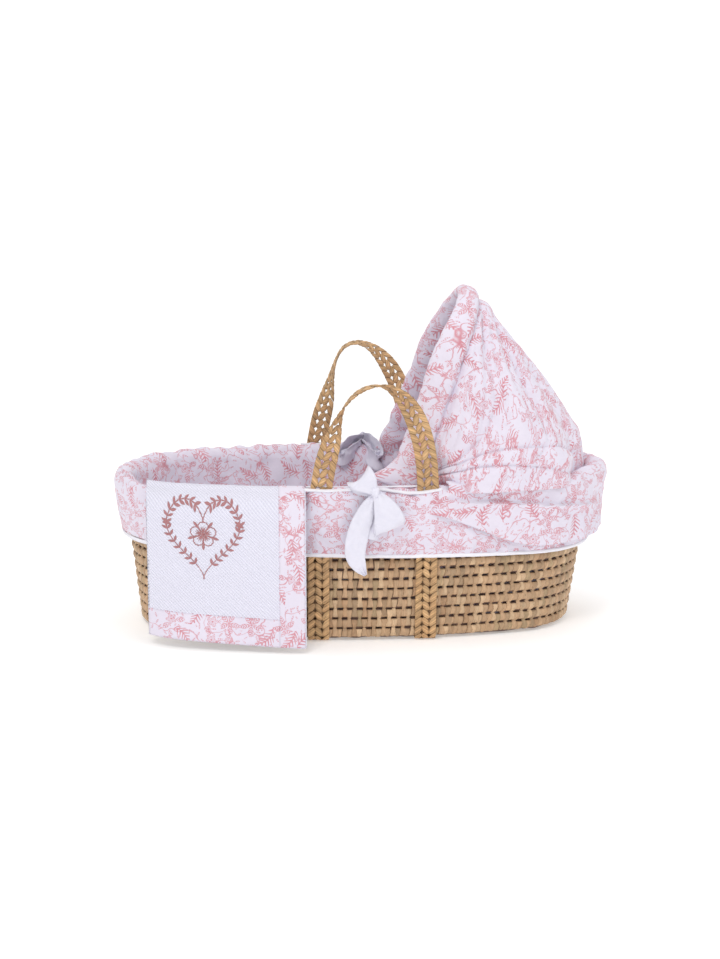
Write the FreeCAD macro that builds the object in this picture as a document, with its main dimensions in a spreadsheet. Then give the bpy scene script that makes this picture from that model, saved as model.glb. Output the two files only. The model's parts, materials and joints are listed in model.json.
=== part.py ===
"""Moses basket: an oval woven palm basket with two carrying straps, a padded liner, a folding hood and bedding.

+X points to the head end, +Y to the rear long side and +Z up. Z = 0 is the surface that the basket stands on.
"""
import FreeCAD, Part
import math
import os
import Sketcher

V = FreeCAD.Vector
doc = FreeCAD.newDocument("moses_basket")

# ---------------------------------------------------------------- driving dimensions, in millimetres and degrees
SIZES = {
    "base_half_length": 386, "base_half_width": 167, "base_end_radius": 133,
    "flare_slope": 0.13, "base_shift": -5, "wall_thick": 8,
    "course_pitch": 18, "course_gap": 0.4, "course_round": 3,
    "strap_width": 36, "strap_thick": 5, "strap_clear": 1.9, "strap_left_x": -75, "strap_right_x": 110,
    "strap_foot_round": 8, "floor_gap": 0.3, "base_thick": 8, "board_thick": 3,
    "rim_height": 9, "rim_thick": 12, "liner_thick": 6.5, "liner_foot": 18,
    "roll_thick": 8.5, "skirt_drop": 116, "skirt_offset": 12, "skirt_thick": 4,
    "hem_height": 7, "elastic_size": 2.4, "valance_drop": 84, "valance_offset": 17, "valance_thick": 5,
    "valance_start_x": 137,
    "slot_clear": 1.2, "binding_size": 1.6,
    "handle_clear": 0.6, "hinge_rise": 5,
    "pivot_x": 72, "pivot_drop": 14, "pin_radius": 2.5, "pin_clear": 0.05,
    "pin_head_radius": 4.5, "pin_head_thick": 1.6, "eye_radius": 7, "eye_width": 5, "bracket_thick": 2,
    "bracket_width": 26, "bracket_height": 31, "rivet_radius": 1.5, "rivet_head": 3, "rivet_pitch": 15,
    "rivet_bite": 4,
    "hoop_radius": 2.5, "hoop_half_width": 170.5, "hoop_height": 353, "hoop_top_radius": 108, "hoop_lean": 19.5,
    "hem_radius": 11, "hem_start": 26, "canopy_thick": 2.5, "canopy_inset": 17,
    "canopy_start": 34,
    "mattress_half_length": 352, "mattress_half_width": 133, "mattress_end_radius": 108, "mattress_thick": 40,
    "mattress_x": -6,
    "cover_thick": 1.2, "piping_radius": 2,
    "blanket_left_x": -360, "blanket_right_x": -96, "blanket_thick": 8, "blanket_gap": 1, "blanket_foot": 7,
    "blanket_inner_drop": 150, "border_width": 38, "trim_thick": 0.8, "motif_half_width": 47,
    "bow_x": 20, "ribbon_thick": 1.4, "ribbon_width": 34, "knot_radius": 9, "loop_length": 46, "loop_height": 22,
    "tail_length": 118, "bow_gap": 1.5,
}
COURSES = 14

sheet = doc.addObject("Spreadsheet::Sheet", "Sizes")
for row, (alias, value) in enumerate(SIZES.items(), 1):
    sheet.set(f"A{row}", alias)
    sheet.set(f"B{row}", str(value))
    sheet.setAlias(f"B{row}", alias)
doc.recompute()


def size(alias):
    """A driving dimension as a plain number."""
    return float(sheet.get(alias))


def cell(alias):
    """A driving dimension as an expression."""
    return f"Sizes.{alias}"


# ---------------------------------------------------------------- levels and offsets, as expressions and numbers
FLOOR = f"({cell('strap_thick')} + {cell('floor_gap')})"
RIM = f"({FLOOR} + {COURSES} * {cell('course_pitch')})"
ROLL = f"({RIM} + {cell('rim_height')} + 1)"
BASE_OVAL = ("base_half_length", "base_half_width", "base_end_radius")
MATTRESS_OVAL = ("mattress_half_length", "mattress_half_width", "mattress_end_radius")

floor_z = size("strap_thick") + size("floor_gap")
rim_z = floor_z + COURSES * size("course_pitch")
roll_z = rim_z + size("rim_height") + 1
roll_top = roll_z + size("roll_thick")
pivot_z = rim_z + size("rim_height") - size("pivot_drop") + size("roll_thick")
hinge_z = roll_top + size("hinge_rise")


def flare(z):
    """How far the wall's outer face has leaned out at height z, as an expression."""
    return f"({cell('flare_slope')} * ({z} - {FLOOR}))"


def flare_mm(z):
    return size("flare_slope") * (z - floor_z)


def shift(z):
    """The oval's centre moves towards the head with height, as an expression."""
    return f"({cell('base_shift')} * (1 - ({z} - {FLOOR}) / ({RIM} - {FLOOR})))"


def shift_mm(z):
    return size("base_shift") * (1 - (z - floor_z) / (rim_z - floor_z))


def oval_numbers(oval, offset):
    """(end centre, side centre, end radius, side radius) of an oval of four tangent arcs."""
    half_length, half_width, radius = (size(a) for a in oval)
    end = half_length - radius
    side = (end**2 + half_width**2 - radius**2) / (2 * (half_width - radius))
    return end, side - half_width, radius + offset, side + offset


def oval_y(x, z, offset=0.0):
    """Half width of the wall's outer oval at x and height z, moved out by an offset."""
    end, side_centre, radius, side = oval_numbers(BASE_OVAL, flare_mm(z) + offset)
    x = abs(x - shift_mm(z))
    join = end * side / (side - radius)
    if x <= join:
        return math.sqrt(side**2 - x**2) - side_centre
    return math.sqrt(max(radius**2 - (x - end) ** 2, 0.0))


def head_walk(share, z, offset, start_x):
    """A point on the wall's outer oval: share 0 is the front side at start_x, 1 the rear side, 0.5 the head."""
    end, side_centre, radius, side = oval_numbers(BASE_OVAL, flare_mm(z) + offset)
    half = math.atan2(side_centre, end)
    straight = side * (math.acos(start_x / side) - half)
    at = (abs(share - 0.5) * 2) * (straight + radius * half)
    if at <= radius * half:
        x, y = end + radius * math.cos(at / radius), radius * math.sin(at / radius)
    else:
        turn = half + (at - radius * half) / side
        x, y = side * math.cos(turn), side * math.sin(turn) - side_centre
    return V(shift_mm(z) + x, math.copysign(y, share - 0.5), z)


# ---------------------------------------------------------------- helpers for bodies, sketches and booleans
nodes = {}


def body_named(name):
    body = doc.addObject("PartDesign::Body", name)
    body.Label = name
    nodes[name] = body
    return body


def plane_of(body, role):
    return next(f for f in body.Origin.OriginFeatures if f.Role == role)


def sketch_on(body, name, role, z="0", x="0"):
    """A sketch on one of the body's origin planes, moved along the plane's normal by z and sideways by x."""
    sketch = body.newObject("Sketcher::SketchObject", name)
    sketch.AttachmentSupport = [(plane_of(body, role), "")]
    sketch.MapMode = "FlatFace"
    sketch.setExpression("AttachmentOffset.Base.z", z)
    sketch.setExpression("AttachmentOffset.Base.x", x)
    return sketch


def bind(sketch, constraint, expression):
    """Adds a dimension to a sketch and binds it to an expression."""
    index = sketch.addConstraint(constraint)
    sketch.setExpression(f"Constraints[{index}]", expression)


def draw_oval(sketch, oval, offset_mm, offset):
    """Four tangent arcs. The centres stay put and the offset is added to every radius."""
    end, side_centre, radius, side = oval_numbers(oval, offset_mm)
    half = math.atan2(side_centre, end)
    z_axis = V(0, 0, 1)
    spans = [
        (V(end, 0, 0), radius, -half, half),
        (V(0, -side_centre, 0), side, half, math.pi - half),
        (V(-end, 0, 0), radius, math.pi - half, math.pi + half),
        (V(0, side_centre, 0), side, math.pi + half, 2 * math.pi - half),
    ]
    first = sketch.GeometryCount
    for centre, r, a, b in spans:
        sketch.addGeometry(Part.ArcOfCircle(Part.Circle(centre, z_axis, r), a, b), False)
    for n in range(4):
        sketch.addConstraint(Sketcher.Constraint("Tangent", first + n, 2, first + (n + 1) % 4, 1))
    for n in (0, 2):
        sketch.addConstraint(Sketcher.Constraint("PointOnObject", first + n, 3, -1))
    sketch.addConstraint(Sketcher.Constraint("PointOnObject", first + 1, 3, -2))
    for n in (0, 1):
        sketch.addConstraint(Sketcher.Constraint("Equal", first + n, first + n + 2))
    half_length, _, end_radius = (cell(a) for a in oval)
    bind(sketch, Sketcher.Constraint("Radius", first, radius), f"{end_radius} + {offset}")
    bind(sketch, Sketcher.Constraint("DistanceX", -1, 1, first, 3, end), f"{half_length} - {end_radius}")
    bind(sketch, Sketcher.Constraint("Radius", first + 1, side), f"{side_radius(oval)} + {offset}")


def side_radius(oval):
    length, width, radius = (cell(a) for a in oval)
    end = f"({length} - {radius})"
    return f"(({end} * {end} + {width} * {width} - {radius} * {radius}) / (2 * ({width} - {radius})))"


def pad(body, sketch, length, role="Pad"):
    feature = body.newObject("PartDesign::Pad", role)
    feature.Profile = sketch
    feature.setExpression("Length", length)
    return feature


def plain_ring(name, z, height, outer, inner=None, oval=BASE_OVAL, x=None):
    """A ring, or a plate with no inner, with upright walls. outer and inner are (millimetres, expression)."""
    body = body_named(name)
    sketch = sketch_on(body, name + "_plan", "XY_Plane", z, x or shift(z))
    draw_oval(sketch, oval, *outer)
    if inner:
        draw_oval(sketch, oval, *inner)
    pad(body, sketch, height)
    return body


def sloped_ring(name, low, high, outer, inner, label=True):
    """A ring whose walls follow the basket's flare. low and high are (mm, expression), and so are the offsets."""
    body = body_named(name) if label else doc.addObject("PartDesign::Body", name)
    for kind, (offset_mm, offset) in (("Additive", outer), ("Subtractive", inner)):
        plans = []
        for level_mm, level in (low, high):
            plan = sketch_on(body, f"{name}_{kind}_{len(plans)}", "XY_Plane", level, shift(level))
            draw_oval(plan, BASE_OVAL, flare_mm(level_mm) + offset_mm, f"{flare(level)} + {offset}")
            plans.append(plan)
        loft = body.newObject(f"PartDesign::{kind}Loft", f"{kind}Loft")
        loft.Profile = plans[0]
        loft.Sections = [plans[1]]
        loft.Ruled = True
        doc.recompute()
    return body


def round_edges(body, wanted, radius):
    """Fillets the edges of the body's tip that the test picks."""
    doc.recompute()
    tip = body.Tip
    names = [f"Edge{n}" for n, edge in enumerate(tip.Shape.Edges, 1) if wanted(edge)]
    fillet = body.newObject("PartDesign::Fillet", "Fillet")
    fillet.Base = (tip, names)
    fillet.setExpression("Radius", radius)
    return fillet


def level_edge(edge, z=None):
    box = edge.BoundBox
    return box.ZLength < 1e-6 and (z is None or abs(box.ZMin - z) < 1e-4)


def box_of(name, corner, lengths):
    """A Part::Box from its low corner and side lengths, each an expression."""
    box = doc.addObject("Part::Box", name)
    for side, length in zip(("Length", "Width", "Height"), lengths):
        box.setExpression(side, str(length))
    for axis, place in zip("xyz", corner):
        box.setExpression(f"Placement.Base.{axis}", str(place))
    return box


def boolean(kind, name, base, tool):
    """A Part::Cut or Part::Common that stands as a node of its own."""
    made = doc.addObject(f"Part::{kind}", name + "_shape")
    made.Label = name
    made.Base = base
    made.Tool = tool
    nodes[name] = made
    return made


def fused(name, shapes):
    made = doc.addObject("Part::MultiFuse", name)
    made.Shapes = shapes
    return made


def cylinder(name, radius, height, place, axis=V(0, 0, 1)):
    """A Part::Cylinder from place along axis. Radius and height are expressions."""
    made = doc.addObject("Part::Cylinder", name)
    made.setExpression("Radius", str(radius))
    made.setExpression("Height", str(height))
    made.Placement = FreeCAD.Placement(place, FreeCAD.Rotation(V(0, 0, 1), axis))
    return made


def solid_node(name, shape, place=None):
    """A node whose shape is made by Part's own functions."""
    made = doc.addObject("Part::Feature", name)
    made.Label = name
    made.Shape = shape
    if place:
        made.Placement = place
    nodes[name] = made
    return made


# ---------------------------------------------------------------- the woven basket
def make_weave():
    wall = cell("wall_thick")
    plain_ring("base_weave", FLOOR, cell("base_thick"), (-8.4, f"0 - {wall} - {cell('course_gap')}"))
    for n in range(COURSES):
        low = f"({FLOOR} + {n} * {cell('course_pitch')})"
        middle = f"({low} + {cell('course_pitch')} / 2)"
        lean = flare_mm(floor_z + (n + 0.5) * size("course_pitch"))
        name = f"wall_course_{n + 1:02d}"
        body = plain_ring(
            name, low, f"{cell('course_pitch')} - {cell('course_gap')}",
            (lean, flare(middle)), (lean - size("wall_thick"), f"{flare(middle)} - {wall}"),
        )
        outer = oval_numbers(BASE_OVAL, lean)[2]
        round_edges(body, lambda e: level_edge(e) and min(abs(e.Curve.Radius - outer),
                    abs(e.Curve.Radius - oval_numbers(BASE_OVAL, lean)[3])) < 0.01, cell("course_round"))
    top = flare_mm(rim_z)
    extra = (size("rim_thick") - size("wall_thick")) / 2
    spread = f"({cell('rim_thick')} - {wall}) / 2"
    body = plain_ring("rim_braid", f"({RIM} + 0.3)", cell("rim_height"),
                      (top + extra - 1.5, f"{flare(RIM)} + {spread} - 1.5"),
                      (top - size("wall_thick") - extra, f"{flare(RIM)} - {wall} - {spread}"))
    round_edges(body, lambda e: level_edge(e, rim_z + 0.3 + size("rim_height")), "3")
    plain_ring("base_board", f"({FLOOR} + {cell('base_thick')} + 0.3)", cell("board_thick"),
               (-18, f"0 - {wall} - 10"))


# ---------------------------------------------------------------- the carrying straps
def make_strap(name, centre_x):
    """One woven strap that runs down one side wall, under the base and up the other side."""
    x = size(centre_x)
    near = min(abs(x - size("strap_width") / 2), abs(x + size("strap_width") / 2))
    reach = {z: oval_y(near, z) + size("strap_clear") for z in (floor_z, hinge_z)}
    thick = size("strap_thick")
    top = hinge_z - thick / 2 - size("handle_clear")
    lean = (reach[hinge_z] - reach[floor_z]) / (hinge_z - floor_z)
    y_at = lambda z: reach[floor_z] + lean * (z - floor_z)
    outline = [(y_at(top), top), (y_at(thick), thick)]
    outer = [(y_at(0) + thick, 0), (y_at(top) + thick, top)]
    points = outer[::-1] + [(-y, z) for y, z in outer] + [(-y, z) for y, z in outline] + outline[::-1]
    body = body_named(name)
    sketch = sketch_on(body, name + "_side", "YZ_Plane", f"{cell(centre_x)} - {cell('strap_width')} / 2")
    for a, b in zip(points, points[1:] + points[:1]):
        sketch.addGeometry(Part.LineSegment(V(*a, 0), V(*b, 0)), False)
    for n in range(len(points)):
        sketch.addConstraint(Sketcher.Constraint("Coincident", n, 2, (n + 1) % len(points), 1))
        sketch.addConstraint(Sketcher.Constraint("Block", n))
    pad(body, sketch, cell("strap_width"))
    round_edges(body, lambda e: e.BoundBox.XLength > 1 and abs(e.BoundBox.ZMax) < 1e-4, cell("strap_foot_round"))
    return y_at(hinge_z) + thick / 2, y_at(roll_z + size("roll_thick") / 2) + thick / 2


def rivet_holes():
    """Round holes through the liner wall for the shanks of the pivot brackets' rivets."""
    holes = []
    for n in (-1, 1):
        place = V(size("pivot_x") + n * 7, -300, pivot_z - size("rivet_pitch"))
        holes.append(cylinder(f"rivet_hole_{n + 1}", f"{cell('rivet_radius')} + 0.05", "600", place, V(0, 1, 0)))
    return fused("rivet_holes", holes)


def strap_section(centre, tangent, across, width, thick):
    """A rectangular wire across a strap, with rounded corners left out."""
    through = tangent.cross(across).normalize()
    a, b = across * (width / 2), through * (thick / 2)
    corners = [centre + a + b, centre + a - b, centre - a - b, centre - a + b]
    return Part.makePolygon(corners + corners[:1])


def make_handle(name, hinge_y, route):
    """A strap arch above the rim: flat against the wall at its feet and turned over on top, where a hand holds it.

    route holds (x, height above the hinge, turn of the strap about its own line in degrees).
    """
    line = Part.BSplineCurve()
    line.interpolate(Points=[V(x, hinge_y, hinge_z + up) for x, up, _ in route],
                     InitialTangent=V(0, 0, 1), FinalTangent=V(0, 0, -1))
    sections = []
    for x, up, turn in route:
        where = line.parameter(V(x, hinge_y, hinge_z + up))
        tangent = V(*line.tangent(where)[0])
        flat = V(0, 1, 0).cross(tangent)
        across = FreeCAD.Rotation(tangent, turn).multVec(flat)
        sections.append(strap_section(V(x, hinge_y, hinge_z + up), tangent, across,
                                      size("strap_width"), size("strap_thick")))
    arch = Part.makeLoft(sections, True, False)
    feet = [
        Part.makeCylinder(size("strap_thick") / 2, size("strap_width"),
                          V(x - size("strap_width") / 2, hinge_y, hinge_z), V(1, 0, 0))
        for x in (route[0][0], route[-1][0])
    ]
    return solid_node(name, arch.fuse(feet).removeSplitter())


FRONT_ROUTE = [(-70, 0, 0), (-63, 38, 4), (-53, 76, 28), (-43, 110, 62), (-30, 138, 84), (-9, 160, 90),
               (17, 171, 86), (41, 169, 70), (65, 152, 46), (85, 122, 20), (99, 84, 4), (107, 42, 0), (110, 0, 0)]
REAR_ROUTE = [(-70, 0, 0), (-62, 42, -8), (-51, 84, -40), (-42, 124, -74), (-33, 158, -90), (-19, 182, -90),
              (2, 192, -88), (26, 187, -76), (50, 169, -52), (73, 138, -24), (92, 96, -6), (104, 48, 0),
              (110, 0, 0)]


# ---------------------------------------------------------------- the padded liner
def make_liner():
    wall = f"(0 - {cell('wall_thick')} - 1.2 - {cell('course_pitch')} * {cell('flare_slope')} / 2)"
    wall_mm = -size("wall_thick") - 1.2 - size("course_pitch") * size("flare_slope") / 2
    foot = (size("liner_foot"), cell("liner_foot"))
    rim_top = (rim_z - 1, f"({RIM} - 1)")
    lining = sloped_ring("lining", foot, rim_top, (wall_mm, wall),
                         (wall_mm - size("liner_thick"), f"{wall} - {cell('liner_thick')}"), label=False)
    boolean("Cut", "liner_wall", lining, rivet_holes())
    skirt_low = (roll_z - size("skirt_drop"), f"({ROLL} - {cell('skirt_drop')})")
    outer = (size("skirt_offset") + size("skirt_thick"), f"{cell('skirt_offset')} + {cell('skirt_thick')}")
    inner = (size("skirt_offset"), cell("skirt_offset"))
    sloped_ring("liner_skirt", skirt_low, (roll_z - 0.4, f"({ROLL} - 0.4)"), outer, inner)
    hem_low = (skirt_low[0] - size("hem_height") - 0.3, f"({skirt_low[1]} - {cell('hem_height')} - 0.3)")
    hem_high = (skirt_low[0] - 0.3, f"({skirt_low[1]} - 0.3)")
    hem = sloped_ring("hem_shell", hem_low, hem_high, outer, inner, label=False)
    middle = f"{cell('skirt_offset')} + ({cell('skirt_thick')} - {cell('elastic_size')}) / 2"
    middle_mm = size("skirt_offset") + (size("skirt_thick") - size("elastic_size")) / 2
    low_mm = hem_low[0] + (size("hem_height") - size("elastic_size")) / 2
    low = f"({hem_low[1]} + ({cell('hem_height')} - {cell('elastic_size')}) / 2)"
    high_mm, high = low_mm + size("elastic_size"), f"({low} + {cell('elastic_size')})"
    sloped_ring("skirt_elastic", (low_mm, low), (high_mm, high),
                (middle_mm + size("elastic_size"), f"{middle} + {cell('elastic_size')}"), (middle_mm, middle))
    gap = 0.2
    tunnel = sloped_ring("hem_tunnel", (low_mm - gap, f"({low} - {gap})"), (high_mm + gap, f"({high} + {gap})"),
                         (middle_mm + size("elastic_size") + gap, f"{middle} + {cell('elastic_size')} + {gap}"),
                         (middle_mm - gap, f"{middle} - {gap}"), label=False)
    boolean("Cut", "skirt_hem_binding", hem, tunnel)


def strap_slots(name, extra):
    """Four upright prisms round the straps, wider than them by extra all round."""
    made = []
    for side in (-1, 1):
        for x, (_, strap_y) in strap_ys.items():
            depth = f"({cell('strap_thick')} + 2 * {extra})"
            y = f"({side} * {strap_y:.3f} - {depth} / 2)"
            made.append(box_of(f"{name}_{len(made)}", (f"{cell(x)} - {cell('strap_width')} / 2 - {extra}", y,
                                                      f"{ROLL} - 20"),
                               (f"{cell('strap_width')} + 2 * {extra}", depth, "40")))
    return made


def make_roll():
    """The soft edge that turns over the rim, slotted for the straps, and the binding round each slot."""
    inside = size("wall_thick") + 1.2 + size("course_pitch") * size("flare_slope") / 2 + size("liner_thick")
    top = flare_mm(roll_z)
    outer_mm = top + size("skirt_offset") + size("skirt_thick")
    outer = f"{flare(ROLL)} + {cell('skirt_offset')} + {cell('skirt_thick')}"
    inner = (f"{flare(ROLL)} - {cell('wall_thick')} - 1.2 - {cell('course_pitch')} * {cell('flare_slope')} / 2"
             f" - {cell('liner_thick')}")
    body = plain_ring("roll_ring", ROLL, cell("roll_thick"), (outer_mm, outer), (top - inside, inner))
    body.Label = "roll_ring"
    del nodes["roll_ring"]
    round_edges(body, lambda e: level_edge(e, roll_top), "6")
    doc.recompute()
    slot = f"({cell('slot_clear')} + {cell('binding_size')} + 0.3)"
    boolean("Cut", "liner_rim_roll", body, fused("slots", strap_slots("slot", slot)))
    rings = f"({cell('slot_clear')} + {cell('binding_size')})"
    frames = fused("binding_blocks", strap_slots("binding_block", rings))
    holes = fused("binding_holes", strap_slots("binding_hole", cell("slot_clear")))
    tubes = doc.addObject("Part::Cut", "binding_tubes")
    tubes.Base, tubes.Tool = frames, holes
    for name, side in (("front_slot_bindings", -1), ("rear_slot_bindings", 1)):
        y = -400 if side < 0 else 0
        boolean("Common", name, tubes, box_of(name + "_half", (-300, y, f"{ROLL} + 2"),
                                              (600, 400, f"{cell('roll_thick')} - 3")))


def make_valance():
    """The hood's outer flap, a second layer over the skirt round the head end, and its bound lower edge."""
    low = (roll_z - size("valance_drop"), f"({ROLL} - {cell('valance_drop')})")
    high = (roll_z + 2, f"({ROLL} + 2)")
    outer = (size("valance_offset") + size("valance_thick"), f"{cell('valance_offset')} + {cell('valance_thick')}")
    inner = (size("valance_offset"), cell("valance_offset"))
    hem = (low[0] - size("hem_height"), f"({low[1]} - {cell('hem_height')})")
    below_valance = (low[0] - 0.3, f"({low[1]} - 0.3)")
    for name, bottom, top in (("hood_valance", low, high), ("valance_binding", hem, below_valance)):
        ring = sloped_ring(name + "_ring", bottom, top, outer, inner, label=False)
        boolean("Common", name, ring, box_of(name + "_head", (cell("valance_start_x"), -300, 0), (400, 600, 400)))


# ---------------------------------------------------------------- the folding hood
def hoop_outline():
    """(tangent point, top of the arc) of the hoop in its own plane, as (sideways, up)."""
    half, radius = size("hoop_half_width"), size("hoop_top_radius")
    centre = size("hoop_height") - radius
    away = math.hypot(half, centre)
    turn = math.atan2(centre, -half) - math.asin(radius / away)
    run = math.sqrt(away**2 - radius**2)
    return half + run * math.cos(turn), run * math.sin(turn)


def hoop_wire(start=0.0):
    """The hoop's centreline in the local YZ plane, from one leg to the other, without the first stretch."""
    y, z = hoop_outline()
    half = size("hoop_half_width")
    along = start / math.hypot(half - y, z)
    foot = V(0, half + (y - half) * along, z * along)
    top = V(0, 0, size("hoop_height"))
    flip = lambda p: V(0, -p.y, p.z)
    knee = V(0, y, z)
    return Part.Wire([Part.LineSegment(foot, knee).toShape(), Part.Arc(knee, top, flip(knee)).toShape(),
                      Part.LineSegment(flip(knee), flip(foot)).toShape()])


def pipe_along(wire, radius):
    start, toward = wire.Edges[0].valueAt(wire.Edges[0].FirstParameter), wire.Edges[0].tangentAt(
        wire.Edges[0].FirstParameter)
    profile = Part.Wire(Part.makeCircle(radius, start, toward))
    return wire.makePipeShell([profile], True, False)


HOOD_PLACE = FreeCAD.Placement(V(size("pivot_x"), 0, pivot_z), FreeCAD.Rotation(V(0, 1, 0), size("hoop_lean")))


def make_hoop():
    """A bent wire hoop with an eye at each foot, and the padded hem that wraps it."""
    hoop = pipe_along(hoop_wire(size("eye_radius") - 1), size("hoop_radius"))
    width = size("eye_width")
    for side in (-1, 1):
        y = side * size("hoop_half_width") - width / 2
        hoop = hoop.fuse(Part.makeCylinder(size("eye_radius"), width, V(0, y, 0), V(0, 1, 0)))
    for side in (-1, 1):
        y = side * size("hoop_half_width") - width
        hole = Part.makeCylinder(size("pin_radius") + size("pin_clear"), 2 * width, V(0, y, 0), V(0, 1, 0))
        hoop = hoop.cut(hole)
    solid_node("hood_hoop", hoop, HOOD_PLACE)
    path = hoop_wire(size("hem_start"))
    tube = pipe_along(path, size("hem_radius")).cut(pipe_along(path, size("hoop_radius") + 0.3))
    solid_node("hood_front_hem", tube, HOOD_PLACE)


def hoop_point(share, behind):
    """A point beside the hoop in the basket's frame: share 0 is the front foot and 1 the rear foot."""
    wire = hoop_wire(size("hem_start") + 6)
    at = wire.Length * share
    for edge in wire.Edges:
        if at <= edge.Length + 1e-6:
            p = edge.valueAt(edge.getParameterByLength(min(at, edge.Length)))
            break
        at -= edge.Length
    return HOOD_PLACE.multVec(V(behind, -p.y, p.z))


def canopy_point(share, down):
    """The canopy's outer face: share runs from the front side to the rear, down from the hoop to the rim."""
    end = head_walk(share, roll_top + 1, -size("canopy_inset"), size("pivot_x") + size("canopy_start"))
    start = hoop_point(share, size("hem_radius") + 3)
    crown = math.sin(math.pi * share)
    p1 = start + (end - start) * 0.34 + V(0, 0, 6 * crown)
    p2 = end + V(14 * crown, 0, 90 * crown)
    k = 1 - down
    return start * k**3 + p1 * (3 * k * k * down) + p2 * (3 * k * down * down) + end * down**3


def canopy_grid(inward):
    """Rows of points on the canopy, moved in along its normal."""
    rows, columns, step = 14, 8, 1e-3
    grid = []
    for i in range(rows + 1):
        line = []
        for j in range(columns + 1):
            a, b = i / rows, j / columns
            along = canopy_point(min(a + step, 1), b) - canopy_point(max(a - step, 0), b)
            down = canopy_point(a, min(b + step, 1)) - canopy_point(a, max(b - step, 0))
            line.append(canopy_point(a, b) - down.cross(along).normalize() * inward)
        grid.append(line)
    return grid


def surface_of(grid):
    surface = Part.BSplineSurface()
    surface.interpolate(grid)
    return surface


def make_canopy():
    """The hood's cloth as one curved shell of even thickness, open to the foot end and down to the rim."""
    outer, inner = (surface_of(canopy_grid(inward)) for inward in (0, size("canopy_thick")))
    faces = [outer.toShape(), inner.toShape()]
    for pick in (lambda s: s.uIso(0), lambda s: s.uIso(1), lambda s: s.vIso(0), lambda s: s.vIso(1)):
        faces.append(Part.makeRuledSurface(pick(outer).toShape(), pick(inner).toShape()))
    solid = Part.Solid(Part.makeShell(faces))
    if solid.Volume < 0:
        solid.reverse()
    solid_node("hood_canopy", solid)


def make_pivots():
    """At each side a riveted plate with a headed pin, on which the hoop's eye turns."""
    y_eye = size("hoop_half_width")
    for name, side in (("front", -1), ("rear", 1)):
        outward = V(0, side, 0)
        wall = y_eye + size("eye_width") / 2 + 0.6
        plate = Part.makeBox(size("bracket_width"), size("bracket_thick"), size("bracket_height"),
                             V(size("pivot_x") - size("bracket_width") / 2,
                               side * wall - (0 if side > 0 else size("bracket_thick")),
                               pivot_z - size("bracket_height") + size("bracket_width") / 2))
        at = V(size("pivot_x"), 0, pivot_z)
        hole = Part.makeCylinder(size("pin_radius") + size("pin_clear"), 400, at - V(0, 200, 0), V(0, 1, 0))
        rivets = []
        for n in range(2):
            place = at + outward * wall + V((n - 0.5) * 14, 0, -size("rivet_pitch"))
            shank = size("bracket_thick") + size("rivet_bite")
            hole = hole.fuse(Part.makeCylinder(size("rivet_radius") + 0.05, 9, place - outward * 3, outward))
            rivets += [Part.makeCylinder(size("rivet_radius"), shank, place, outward).fuse(
                Part.makeCylinder(size("rivet_head"), 1, place - outward * 1.05, outward))]
        solid_node(f"{name}_pivot_bracket", plate.cut(hole))
        inner_end = at + outward * (y_eye - size("eye_width") / 2 - 0.5)
        pin = Part.makeCylinder(size("pin_radius"), size("eye_width") + 1.2 + size("bracket_thick"),
                                inner_end, outward)
        head = Part.makeCylinder(size("pin_head_radius"), size("pin_head_thick"),
                                 inner_end - outward * size("pin_head_thick"), outward)
        solid_node(f"{name}_pivot_pin", pin.fuse(head))
        solid_node(f"{name}_bracket_rivets", Part.makeCompound(rivets))


# ---------------------------------------------------------------- bedding
def make_mattress():
    low = f"({FLOOR} + {cell('base_thick')} + {cell('board_thick')} + 1 + {cell('cover_thick')})"
    cover = size("cover_thick")
    core = plain_ring("mattress_core", low, cell("mattress_thick"), (0, "0"), oval=MATTRESS_OVAL,
                      x=cell("mattress_x"))
    round_edges(core, level_edge, "9")
    block = plain_ring("cover_block", f"({low} - {cell('cover_thick')})",
                       f"{cell('mattress_thick')} + 2 * {cell('cover_thick')}",
                       (cover, cell("cover_thick")), oval=MATTRESS_OVAL, x=cell("mattress_x"))
    round_edges(block, level_edge, "9")
    hollow = plain_ring("cover_hollow", f"({low} - 0.1)", f"{cell('mattress_thick')} + 0.2", (0.1, "0.1"),
                        oval=MATTRESS_OVAL, x=cell("mattress_x"))
    round_edges(hollow, level_edge, "9")
    del nodes["cover_block"], nodes["cover_hollow"]
    boolean("Cut", "mattress_cover", block, hollow)
    side = cell("piping_radius")
    for name, up in (("mattress_piping_top", size("mattress_thick") - 11), ("mattress_piping_bottom", 9)):
        plain_ring(name, f"({low} + {up})", side, (cover + 0.2 + size("piping_radius"),
                   f"{cell('cover_thick')} + 0.2 + {side}"), (cover + 0.2, f"{cell('cover_thick')} + 0.2"),
                   oval=MATTRESS_OVAL, x=cell("mattress_x"))


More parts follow.
